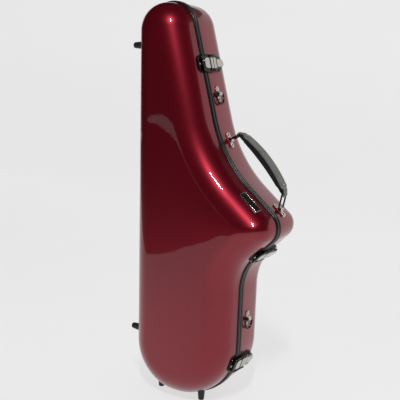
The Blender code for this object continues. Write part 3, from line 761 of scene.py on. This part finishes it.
def latch_base(name, at, along, out):
    """The base plate with two cheeks for the lever's pin."""
    bm = bmesh.new()
    plan = rounded_plan(LATCH_HALF - 0.001, RIM_DEPTH + 0.0009, 0.050, 0.0012, 0.006)
    prism(bm, [at(u, v, -0.0045) for u, v in plan], out * 0.0069)
    v, w = LEVER_PIVOT
    cheek = [(v - 0.0045, 0.0020), (v + 0.0060, 0.0020), (v + 0.0046, w + 0.0008)]
    cheek += arc_points(v, w, 0.0034, 0.0028, 22.5, 22.5, 7)
    cheek.append((v - 0.0040, w + 0.0006))
    inner = LEVER_HALF + 0.0004
    for start in (-inner - 0.002, inner):
        prism(bm, [at(start, v, w) for v, w in cheek], along * 0.002)
    return eased(name, bm, BLACK_NICKEL, 0.0004)


def latch_lever(name, at, along, out):
    """The lever's dark frame, with a rounded finger tab."""
    v, w = LEVER_PIVOT
    side = arc_points(v, w, 0.0025, 0.0024, 90, 22.5, 9)
    side += [(0.0470, w - 0.0024), (0.0484, w - 0.0006), (0.0482, w + 0.0010), (0.0465, w + 0.0015)]
    side += [(v + 0.0022, w + 0.0016)]
    bm = bmesh.new()
    prism(bm, [at(-LEVER_HALF, v, w) for v, w in side], along * 2 * LEVER_HALF)
    tab = rounded_plan(0.0085, 0.0440, 0.0569, 0.001, 0.0075)
    prism(bm, [at(u, v, w - 0.0015) for u, v in tab], out * 0.0024)
    return eased(name, bm, BLACK_NICKEL, 0.0004)


def lever_highlight_panels(name, at, out):
    """Two raised panels and a finger tab pressed into the lever, with grooves between, plated
    bright on the black lever as a painted highlight.
    """
    w = LEVER_PIVOT[1]
    bm = bmesh.new()
    for start, end in ((0.0128, 0.0217), (0.0229, 0.0318)):
        plan = rounded_plan(LEVER_HALF - 0.0022, start, end, 0.0006, 0.0006, 2)
        prism(bm, [at(u, v, w + 0.0010) for u, v in plan], out * 0.0013)
    tab = rounded_plan(0.0078, 0.0338, 0.0562, 0.0008, 0.0070)
    prism(bm, [at(u, v, w + 0.0004) for u, v in tab], out * 0.0017)
    # Painted highlight: the raised panels of the black lever are given bright plating.
    return eased(name, bm, BRIGHT_NICKEL, 0.00045)


def latch_claw(name, at, out):
    """A flat U: two arms on the lever's pin, and a nose over the keeper."""
    nose = -0.0135
    inner, outer = LEVER_HALF + 0.0028, LATCH_HALF
    bend_in, bend_out = 0.004, 0.007
    end = CLAW_PIVOT[0] + 0.0026
    outside, inside = [], []
    for sign, begin in ((-1, 180), (1, 270)):
        corner = sign * (outer - bend_out)
        outside += arc_points(corner, nose + bend_out, bend_out, bend_out, begin, 15, 7)
    for sign, begin in ((1, 0), (-1, 270)):
        corner = sign * (inner - bend_in)
        inside += arc_points(corner, nose + 0.0082, bend_in, bend_in, begin, -22.5, 5)
    plan = [(-outer, end), *outside, (outer, end), (inner, end), *inside, (-inner, end)]
    bm = bmesh.new()
    prism(bm, [at(u, v, CLAW_PIVOT[1] - 0.0018) for u, v in plan], out * 0.0036)
    return eased(name, bm, BLACK_NICKEL, 0.0009, 3)


def claw_web(name, at, out):
    """The dark web between the claw's arms, with a round-nosed panel on it plated bright as a
    painted highlight.
    """
    web, panel = bmesh.new(), bmesh.new()
    plan = rounded_plan(LEVER_HALF + 0.0029, -0.0100, 0.0108, 0.0040, 0.0004, 4)
    prism(web, [at(u, v, CLAW_PIVOT[1] - 0.0014) for u, v in plan], out * 0.0014)
    plan = rounded_plan(LEVER_HALF - 0.0022, -0.0062, 0.0102, 0.0075, 0.0006, 8)
    prism(panel, [at(u, v, CLAW_PIVOT[1] - 0.0006) for u, v in plan], out * 0.0026)
    # Painted highlight: the raised panel on the black claw is given bright plating.
    return (
        eased(name, web, BLACK_NICKEL, 0.0003),
        eased(f"{name}_panel", panel, BRIGHT_NICKEL, 0.00045),
    )


def latch_keeper(name, at, out):
    """A round-ended catch plate under the claw's nose, with a pressed bead round it."""
    bm = bmesh.new()
    for margin, low, high in ((0.0, -0.003, RIM_PROUD - 0.0006), (0.0016, 0.0, RIM_PROUD)):
        plan = rounded_plan(
            LATCH_HALF - 0.001 - margin, -0.0220 + margin, -RIM_DEPTH - 0.0008 - margin,
            0.010 - margin, 0.0018 - margin, 8,
        )
        prism(bm, [at(u, v, low) for u, v in plan], out * (high - low))
    return eased(name, bm, BLACK_NICKEL, 0.0003)


lid_rivets, tub_rivets = [], []
for place in ("top", "bell", "bottom"):
    at, along, out = on_wall(f"latch_{place}_lever_hinge")
    steel = "nickel_plated_steel"
    base = latch_base(f"latch_plate_{place}", at, along, out)
    fit(base, "tub", steel, f"latch_{place}_base")
    lever = latch_lever(f"latch_flap_{place}", at, along, out)
    fit(lever, f"latch_{place}_lever", steel, f"latch_{place}_lever")
    fit(lever_highlight_panels(f"latch_panels_{place}", at, out), f"latch_{place}_lever", steel)
    claw = latch_claw(f"latch_draw_bar_{place}", at, out)
    fit(claw, f"latch_{place}_claw", steel, f"latch_{place}_claw")
    for web in claw_web(f"latch_draw_web_{place}", at, out):
        fit(web, f"latch_{place}_claw", steel)
    keeper = latch_keeper(f"latch_catch_{place}", at, out)
    fit(keeper, "lid", steel, f"latch_{place}_keeper")
    for kind, body, reach, radius, pivot in (
        ("lever_pin", "tub", LEVER_HALF + 0.0026, 0.0015, LEVER_PIVOT),
        ("claw_pin", f"latch_{place}_lever", LATCH_HALF, 0.0010, CLAW_PIVOT),
    ):
        bm = bmesh.new()
        pin_rod(bm, at(-reach, *pivot), at(reach, *pivot), radius)
        pin = finished(f"latch_{place}_{kind}_rod", bm, BRIGHT_NICKEL)
        fit(pin, body, steel, f"latch_{place}_{kind}")
    lid_rivets += [(at(0, -0.0172, RIM_PROUD), out)]
    tub_rivets += [(at(u, 0.0455, 0.0024), out) for u in (-0.0105, 0.0105)]
    tub_rivets += [(at(u, 0.0110, 0.0024), out) for u in (-0.0095, 0.0095)]
fit(heads("catch_rivets", RIVET_HEADS, lid_rivets, 0.0028, 0.0012, BRIGHT_NICKEL), "lid", steel)
fit(heads("base_rivets", RIVET_HEADS, tub_rivets, 0.0017, 0.0007, BRIGHT_NICKEL), "tub", steel)

# ------------------------------------------------------------------- saddles and strap rings
# Pressed saddles riveted to the tub's wall: two hold the D rings of a shoulder strap, and two
# hold the handle's wire bails. A bridge in the middle of each lets its wire turn.

SADDLE_LOBE = 0.0055
WIRE_CLEARANCE = 0.0006
RING_PIVOT_HEIGHT = 0.0042
BAIL_PIVOT_HEIGHT = 0.0045
RING_WIRE = 0.0020
BAIL_WIRE = 0.0018


def wall_seat(pivot, height_over_wall):
    """The seat at the foot of a pivot on the handle's side, and the direction out of the wall."""
    ring = outline(0)
    count = len(ring)
    middle = Vector((pivot.x, pivot.z))
    near = min(range(count), key=lambda i: ((ring[i] + ring[(i + 1) % count]) / 2 - middle).length)
    a, b = ring[near], ring[(near + 1) % count]
    along = Vector((b.x - a.x, 0, b.y - a.y)).normalized()
    out = Vector((along.z, 0, -along.x))
    return seat(pivot - out * height_over_wall, along, out), out


def saddle(name, at, out, half_length, pivot_height, wire, half_width):
    """Two round lobes joined by a waist, with a bridge bent up over the wire."""
    lobe, bridge_half = SADDLE_LOBE, 0.0060
    plan = []
    for sign, begin in ((-1, 100), (1, -80)):
        plan += arc_points(sign * (half_length - lobe), 0, lobe, lobe, begin, 16, 11)
        plan.append((sign * bridge_half, sign * 0.0046))
    top = pivot_height - wire - WIRE_CLEARANCE
    foot, peak = top - 0.001, pivot_height + wire + 0.0022
    reach = wire + 0.0008
    outside = arc_points(0, foot, bridge_half, peak - foot, 180, -15, 13)
    inside = arc_points(0, pivot_height, reach, reach, 180, -15, 13)
    bridge = [*outside, (0.0029, top), *reversed(inside), (-0.0029, top)]
    bm = bmesh.new()
    prism(bm, [at(u, v, -0.004) for u, v in plan], out * (top + 0.004))
    prism(bm, [at(u, -half_width, w) for u, w in bridge], Vector((0, 2 * half_width, 0)))
    return eased(name, bm, BRIGHT_NICKEL, 0.0003)


def tube(bm, path, radius, sides=12, closed=True):
    """Round wire along a path, joined up on itself or with flat ends."""
    rings, lean = [], None
    count = len(path)
    for i, point in enumerate(path):
        before = path[i - 1] if closed or i else point
        after = path[(i + 1) % count] if closed or i < count - 1 else point
        tangent = (after - before).normalized()
        lean = lean or tangent.orthogonal()
        lean = (lean - tangent * lean.dot(tangent)).normalized()
        across = tangent.cross(lean)
        ring = arc_points(0, 0, radius, radius, 0, 360 / sides, sides)
        rings.append([point + lean * x + across * y for x, y in ring])
    rows = skin(bm, rings, looped=closed)
    if not closed:
        bm.faces.new(rows[0])
        bm.faces.new(rows[-1])


saddle_rivets = []
for kind, place, joint, height, half_length, half_width in (
    ("strap", "upper", "strap_ring_upper_hinge", RING_PIVOT_HEIGHT, 0.0165, 0.0050),
    ("strap", "lower", "strap_ring_lower_hinge", RING_PIVOT_HEIGHT, 0.0165, 0.0050),
    ("handle", "upper", "handle_bail_upper_hinge", BAIL_PIVOT_HEIGHT, 0.0170, 0.0048),
    ("handle", "lower", "handle_bail_lower_hinge", BAIL_PIVOT_HEIGHT, 0.0170, 0.0048),
):
    at, out = wall_seat(joint_at[joint], height)
    wire = RING_WIRE if kind == "strap" else BAIL_WIRE
    pressed = saddle(f"{kind}_bridge_{place}", at, out, half_length, height, wire, half_width)
    fit(pressed, "tub", steel, f"{kind}_saddle_{place}")
    reach = half_length - SADDLE_LOBE
    saddle_rivets += [(at(u, 0, height - wire - WIRE_CLEARANCE), out) for u in (-reach, reach)]
    if kind == "strap":
        half, drop, bend = 0.014 - RING_WIRE, 0.025 - 2 * RING_WIRE, 0.004
        bow = [(0.0, bend - half), (0.0, 0.0), (0.0, half - bend)]
        bow += arc_points(-bend, half - bend, bend, bend, 15, 15, 5)
        bow += arc_points(-bend, 0, drop - bend, half, 90, 7.5, 25)
        bow += arc_points(-bend, bend - half, bend, -bend, 75, -15, 5)
        bm = bmesh.new()
        tube(bm, [at(u, v, height) for u, v in bow], RING_WIRE)
        ring = finished(f"d_ring_{place}", bm, BLACK_NICKEL)
        fit(ring, f"strap_ring_{place}", steel, f"strap_ring_{place}")
rivets = heads("saddle_rivets", RIVET_HEADS, saddle_rivets, 0.0026, 0.0012, BRIGHT_NICKEL)
fit(rivets, "tub", steel)

# ------------------------------------------------------------------------------------ handle
# A padded grip of black leather over foam, under a stiff grained strap that runs its whole
# length. Each end hangs in a loop of black nickel wire, which swings in a saddle.

upper_pivot = joint_at["handle_bail_upper_hinge"]
lower_pivot = joint_at["handle_bail_lower_hinge"]
pivot_line = (lower_pivot - upper_pivot).normalized()
over_line = Vector((-pivot_line.z, 0, pivot_line.x))
upper_tip = joint_at["handle_grip_hinge"]
lower_tip = lower_pivot - pivot_line * 0.0179 + over_line * 0.0270
BAIL_HALF = 0.00775
BAIL_BEND = 0.0025

for place, pivot, tip in (("upper", upper_pivot, upper_tip), ("lower", lower_pivot, lower_tip)):
    rise = (tip - pivot).normalized()
    far = (tip - pivot).length - BAIL_BEND
    side = BAIL_HALF - BAIL_BEND
    loop = []
    for a, b, begin in (
        (BAIL_BEND, -side, 180), (far, -side, 270), (far, side, 0), (BAIL_BEND, side, 90),
    ):
        corner = arc_points(a, b, BAIL_BEND, BAIL_BEND, begin, 15, 7)
        loop += [pivot + rise * away + Vector((0, depth, 0)) for away, depth in corner]
    bm = bmesh.new()
    tube(bm, loop, BAIL_WIRE, 14)
    bail = finished(f"wire_bail_{place}", bm, BLACK_NICKEL)
    fit(bail, f"handle_bail_{place}", steel, f"handle_bail_{place}")

GRIP_LENGTH = (lower_tip - upper_tip).length
grip_along = (lower_tip - upper_tip).normalized()
grip_out = Vector((-grip_along.z, 0, grip_along.x))
LUG_HALF = 0.0050
STRAP_HALF = 0.0104
PAD_HALF = 0.0096


def grip_at(u, v, w):
    return upper_tip + grip_along * u + Vector((0, v, 0)) + grip_out * w


def arch(u):
    """How far the grip has risen between its ends: 0 there, and 1 in the middle."""
    t = (u - GRIP_LENGTH / 2) / (GRIP_LENGTH / 2 - 0.0085)
    return max(0.0, 1 - t * t)


def from_end(u):
    return min(u, GRIP_LENGTH - u)


def eased_step(value, low, high):
    t = min(1.0, max(0.0, (value - low) / (high - low)))
    return t * t * (3 - 2 * t)


def grained_leather(name, deep, pale, grain_size, height):
    """Embossed cowhide: pebbled, waxed dark in the grain, and rubbed paler on its high spots."""
    material, tree, place = new_finish(name, specular_ior_level=0.5)
    pebble = add_node(
        tree, "ShaderNodeTexVoronoi", {"Vector": place, "Scale": 1 / grain_size},
        feature="DISTANCE_TO_EDGE",
    )
    high_spot = add_node(
        tree, "ShaderNodeMapRange", {"Value": pebble.outputs["Distance"], "From Max": 0.35}
    ).outputs["Result"]
    worn = noise(tree, place, 0.012, 3.0)
    rubbed = math_node(tree, "MULTIPLY", high_spot, worn)
    return drive(
        material, base_color=mixed(tree, rubbed, deep, pale),
        roughness=spread(tree, worn, 0.38, 0.58), normal=bumped(tree, high_spot, 0.6, height),
    )


# The strap's grain is about 1 mm and the pad's finer; both are drawn a little coarse.
STRAP_LEATHER = grained_leather(
    "grained_grey_black_strap_leather", "#5C5D58", "#B4B5AC", 0.0018, 0.0004
)
PAD_LEATHER = grained_leather("smooth_black_pad_leather", "#101315", "#2E3438", 0.0011, 0.0001)


def grip_form(name, start, end, half, low, high, edge, material, stations=40):
    """A form along the grip whose half width, underside and top follow the distance u."""
    rings = []
    for i in range(stations + 1):
        u = start + (end - start) * i / stations
        ring = []
        soft = min(edge(u), half(u) * 0.98, (high(u) - low(u)) * 0.49)
        for side_u, side_w, begin in ((1, 1, 0), (-1, 1, 90), (-1, -1, 180), (1, -1, 270)):
            centre_w = high(u) - soft if side_w > 0 else low(u) + soft
            corner = arc_points(side_u * (half(u) - soft), centre_w, soft, soft, begin, 18, 6)
            ring += [grip_at(u, v, w) for v, w in corner]
        rings.append(ring)
    bm = bmesh.new()
    rows = skin(bm, rings)
    bm.faces.new(rows[0])
    bm.faces.new(rows[-1])
    return finished(name, bm, material, 60)


def strap_half(u):
    return LUG_HALF + (STRAP_HALF - LUG_HALF) * eased_step(from_end(u), 0.0045, 0.0130)


def strap_top(u):
    nose = eased_step(from_end(u), -0.0052, 0.0050)
    return 0.0020 + 0.0075 * nose + 0.0092 * arch(u)


def strap_foot(u):
    return strap_top(u) - 0.0036 - 0.0036 * (1 - eased_step(from_end(u), -0.002, 0.006))


strap = grip_form(
    "grip_strap", -0.0050, GRIP_LENGTH + 0.0050, strap_half, strap_foot, strap_top,
    lambda u: 0.0011, STRAP_LEATHER, 64,
)
fit(strap, "handle_grip", "black_leather_grip", "handle_grip")


def pad_swell(u):
    """The foam's own shape: full along the grip, and pinched in before each end."""
    return eased_step(from_end(u), 0.0090, 0.0200)


pad = grip_form(
    "grip_pad", 0.0086, GRIP_LENGTH - 0.0086,
    lambda u: 0.0070 + (PAD_HALF - 0.0070) * pad_swell(u),
    lambda u: 0.0028 + 0.0045 * arch(u) - 0.0058 * pad_swell(u),
    lambda u: strap_top(u) - 0.0030,
    lambda u: 0.0042, PAD_LEATHER, 56,
)
fit(pad, "handle_grip", "black_leather_grip")

lug_block = grip_form(
    "grip_lugs", -0.0042, GRIP_LENGTH + 0.0042, lambda u: LUG_HALF - 0.0004,
    lambda u: -0.0036 + 0.0060 * arch(u), lambda u: strap_foot(u) + 0.0010,
    lambda u: 0.0012, PAD_LEATHER, 48,
)
fit(lug_block, "handle_grip", "black_leather_grip")

for sign, edge_name in ((-1, "front"), (1, "back")):
    piping = []
    for k in range(49):
        u = 0.0100 + (GRIP_LENGTH - 0.0200) * k / 48
        piping.append(grip_at(u, sign * (strap_half(u) + 0.0002), strap_foot(u) - 0.0004))
    bm = bmesh.new()
    tube(bm, piping, 0.0008, 10, closed=False)
    fit(finished(f"grip_piping_{edge_name}", bm, PAD_LEATHER), "handle_grip", "black_leather_grip")


def stitch_tree():
    """A row of stitches lying along a line."""
    sockets = {"Line": "Geometry", "Spacing": "Float", "Length": "Float", "Thickness": "Float"}
    tree, given = new_tree("saddle_stitches", sockets | {"Thread": "Material"}, "Stitches")
    line = add_node(tree, "GeometryNodeMeshToCurve", {"Mesh": given["Line"]})
    holes = add_node(
        tree, "GeometryNodeResampleCurve",
        {"Curve": line.outputs["Curve"], "Length": given["Spacing"]}, mode="LENGTH",
    )
    tangent = add_node(tree, "GeometryNodeInputTangent", {})
    lie = add_node(
        tree, "FunctionNodeAlignRotationToVector", {"Vector": tangent.outputs["Tangent"]}, axis="X"
    )
    bead = add_node(tree, "GeometryNodeMeshUVSphere", {"Segments": 8, "Rings": 6, "Radius": 0.5})
    inputs = {
        "Points": holes.outputs["Curve"], "Instance": bead.outputs["Mesh"],
        "Rotation": lie.outputs["Rotation"],
        "Scale": sized(tree, given["Length"], given["Thickness"], given["Thickness"]),
    }
    set_on_points(tree, inputs, given["Thread"], "Stitches")
    return tree


def waxed_thread():
    """Waxed linen thread, near black, with painted light and shade standing for the twist."""
    material, tree, place = new_finish("waxed_black_linen_thread", roughness=0.6, sheen_weight=0.2)
    twist_light_and_shade = noise(tree, place, 0.0008)
    # Painted light and shade: paler and darker flecks standing for light on the twisted plies.
    return drive(material, base_color=mixed(tree, twist_light_and_shade, "#161616", "#3C3C3A"))


seam_points, seam_edges = [], []
for sign in (-1, 1):
    first = len(seam_points)
    for k in range(61):
        u = 0.0120 + (GRIP_LENGTH - 0.0240) * k / 60
        seam_points.append(grip_at(u, sign * (strap_half(u) - 0.0019), strap_top(u) + 0.00005))
    seam_edges += [(i, i + 1) for i in range(first, first + 60)]
seams = bpy.data.meshes.new("grip_stitches")
seams.from_pydata(seam_points, seam_edges, [])
stitching = grown(
    "grip_stitches", stitch_tree(), seams, 60, Spacing=0.0034, Length=0.0025, Thickness=0.0006,
    Thread=waxed_thread(),
)
fit(stitching, "handle_grip", "black_leather_grip")
studs = heads(
    "grip_studs", RIVET_HEADS,
    [(grip_at(u, 0, strap_top(u)), grip_out) for u in (0.0150, GRIP_LENGTH - 0.0150)],
    0.0022, 0.0009, BRIGHT_NICKEL,
)
fit(studs, "handle_grip", "nickel_plated_steel")

# -------------------------------------------------------------------------------- name plate
# A small blank plate of black enamel in a nickel-plated rim, glued and pinned on the lid's
# round-over above the bell.

PLATE_HEIGHT = 0.4494
PLATE_DEPTH = 0.031
PLATE_HALF_LENGTH = 0.025
PLATE_HALF_WIDTH = 0.00825


def black_enamel():
    """Fired black enamel: glassy, very dark, with a faint wave."""
    material, tree, place = new_finish(
        "fired_black_enamel", coat_weight=0.8, coat_roughness=0.04, coat_ior=1.52
    )
    wave = noise(tree, place, 0.006)
    shade = mixed(tree, wave, "#0B0D0F", "#1C1F22")
    return drive(material, base_color=shade, roughness=spread(tree, wave, 0.25, 0.4))


def name_plate():
    """The rim and the sunk enamelled field, turned with the round-over."""
    ring = outline(0)
    i = next(
        i for i in range(len(ring))
        if ring[i].x > 0.0 and ring[i].y <= PLATE_HEIGHT < ring[(i + 1) % len(ring)].y
    )
    a, b = ring[i], ring[i + 1]
    foot = a.lerp(b, (PLATE_HEIGHT - a.y) / (b.y - a.y))
    along = Vector((b.x - a.x, 0, b.y - a.y)).normalized()
    out = Vector((along.z, 0, -along.x))
    straight = LID_DEPTH - LID_ROUND_OVER
    tilt = math.asin((PLATE_DEPTH - straight) / LID_ROUND_OVER)
    across = Vector((0, math.cos(tilt), 0)) + out * math.sin(tilt)
    up = out * math.cos(tilt) - Vector((0, math.sin(tilt), 0))
    drop = wall_inset(straight, straight) + LID_ROUND_OVER * (1 - math.cos(tilt))
    centre = Vector((foot.x, PARTING - PLATE_DEPTH, foot.y)) - out * drop

    def at(u, v, w):
        return centre + along * u + across * v + up * w

    def field(margin):
        corners = rounded_plan(
            PLATE_HALF_WIDTH - margin, margin - PLATE_HALF_LENGTH, PLATE_HALF_LENGTH - margin,
            0.0012, 0.0012, 3,
        )
        return [(v, u) for u, v in corners]

    rim = bmesh.new()
    rows = skin(
        rim,
        [
            [at(u, v, w) for u, v in field(margin)]
            for margin, w in (
                (0.0, -0.003), (0.0, 0.0013), (0.0003, 0.0017), (0.0008, 0.0017),
                (0.0011, 0.0014), (0.0012, 0.0009),
            )
        ],
    )
    rim.faces.new(rows[0])
    rim.faces.new(rows[-1])
    enamel = bmesh.new()
    prism(enamel, [at(u, v, 0.0005) for u, v in field(0.00125)], up * 0.0006)
    return (
        finished("plate_rim", rim, BRIGHT_NICKEL, 50),
        eased("plate_enamel", enamel, black_enamel(), 0.0002),
        [(at(u, 0, 0.0011), up) for u in (-0.0215, 0.0215)],
    )


plate_rim, plate_enamel, plate_pins = name_plate()
fit(plate_rim, "lid", "dark_name_plate", "name_plate")
fit(plate_enamel, "lid", "dark_name_plate")
pins = heads("plate_pins", RIVET_HEADS, plate_pins, 0.0009, 0.0004, BRIGHT_NICKEL)
fit(pins, "lid", "dark_name_plate")

# ------------------------------------------------------------------------------------ studio
# Pale paper under and behind the case, soft light from over the camera, and a dark room all
# round that only the lacquer and the plating mirror: a painted dark reflection, which neither the
# camera nor the light sees.

AWAY_LEFT = Vector((-0.6, -0.8, 0))


def paper():
    """Seamless background paper: matt, and faintly mottled."""
    material, tree, place = new_finish(
        "background_paper", roughness=0.9, emission_color=(1, 1, 1, 1), emission_strength=0.65
    )
    return drive(material, base_color=mixed(tree, noise(tree, place, 0.3), "#8C8C8C", "#929292"))


def stage_piece(name, points_in_rows, material):
    """A sheet of the studio from rows of points, shaded smooth."""
    bm = bmesh.new()
    rows = [[bm.verts.new(point) for point in row] for row in points_in_rows]
    for a, b in zip(rows, rows[1:]):
        for i in range(len(a) - 1):
            bm.faces.new((a[i], a[i + 1], b[i + 1], b[i]))
    mesh = bpy.data.meshes.new(name)
    bm.to_mesh(mesh)
    bm.free()
    mesh.materials.append(material)
    mesh.shade_smooth()
    made = bpy.data.objects.new(name, mesh)
    bpy.context.scene.collection.objects.link(made)
    return made


profile = [(-9.0, 0.0), (1.6, 0.0), *arc_points(1.6, 0.8, 0.8, 0.8, -78.75, 11.25, 8), (2.4, 2.3)]
stage_piece("paper_sweep", [[(x, y, z) for x in (-9.0, 7.0)] for y, z in profile], paper())


def painted_dark_reflection():
    """Dark sheets seen only in reflections, a painted dark reflection, very slightly uneven."""
    material, tree, place = new_finish("painted_dark_reflection_cloth", roughness=1.0)
    return drive(material, base_color=mixed(tree, noise(tree, place, 0.5), "#060606", "#0C0C0C"))


PAINTED_DARK_REFLECTION = painted_dark_reflection()


def mirrored_only(made):
    """Hides a sheet from everything but reflections."""
    for ray in ("camera", "diffuse", "shadow", "transmission", "volume_scatter"):
        setattr(made, f"visible_{ray}", False)


# Painted reflection: dark walls and ceiling that only reflections see.
room = [(-6.0, -8.0), (6.0, -8.0), (6.0, 6.0), (-6.0, 6.0), (-6.0, -8.0)]
mirrored_only(
    stage_piece("dark_room_walls", [[(x, y, z) for x, y in room] for z in (-0.2, 4.0)], PAINTED_DARK_REFLECTION)
)
mirrored_only(
    stage_piece(
        "dark_room_ceiling", [[(x, y, 4.0) for x in (-6.0, 6.0)] for y in (-8.0, 6.0)], PAINTED_DARK_REFLECTION
    )
)
# Painted reflection: a dark sheet over the floor to the front left, seen only in reflections while
# the camera sees the paper.
across_view = Vector((0.8, -0.6, 0))
near_edge = AWAY_LEFT * 1.30 + Vector((0, 0, 0.004))
floor_reflection_rows = [
    [near_edge + AWAY_LEFT * far + across_view * side for side in (-5.0, 5.0)]
    for far in (0.0, 6.0)
]
mirrored_only(stage_piece("dark_floor_cloth", floor_reflection_rows, PAINTED_DARK_REFLECTION))

world = bpy.data.worlds.new("soft_studio")
world.use_nodes = True
world.node_tree.nodes["Background"].inputs["Color"].default_value = (0.9, 0.9, 0.9, 1)
world.node_tree.nodes["Background"].inputs["Strength"].default_value = 0.35
bpy.context.scene.world = world


def soft_light(name, place, aim, width, height, power):
    lamp = bpy.data.lights.new(name, "AREA")
    lamp.shape = "RECTANGLE"
    lamp.size, lamp.size_y, lamp.energy = width, height, power
    made = bpy.data.objects.new(name, lamp)
    made.location = place
    made.rotation_mode = "QUATERNION"
    made.rotation_quaternion = (Vector(aim) - Vector(place)).to_track_quat("-Z", "Y")
    bpy.context.scene.collection.objects.link(made)


soft_light("overhead_strip", (0.9, -1.3, 2.1), (0, 0, 0.4), 0.05, 0.45, 24)

camera = bpy.data.cameras.new("camera")
camera.lens = 68.5
camera.clip_start = 0.05
camera_place = Vector((0.9214, -1.2631, 0.7165))
looking = Vector((-0.5906, 0.7866, -0.1801))
CAMERA_ROLL = math.radians(1.31)
viewer = bpy.data.objects.new("camera", camera)
viewer.location = camera_place
viewer.rotation_mode = "QUATERNION"
level = looking.to_track_quat("-Z", "Y")
viewer.rotation_quaternion = level @ Quaternion((0, 0, 1), CAMERA_ROLL)
bpy.context.scene.collection.objects.link(viewer)
bpy.context.scene.camera = viewer
bpy.context.scene.view_settings.view_transform = "Standard"
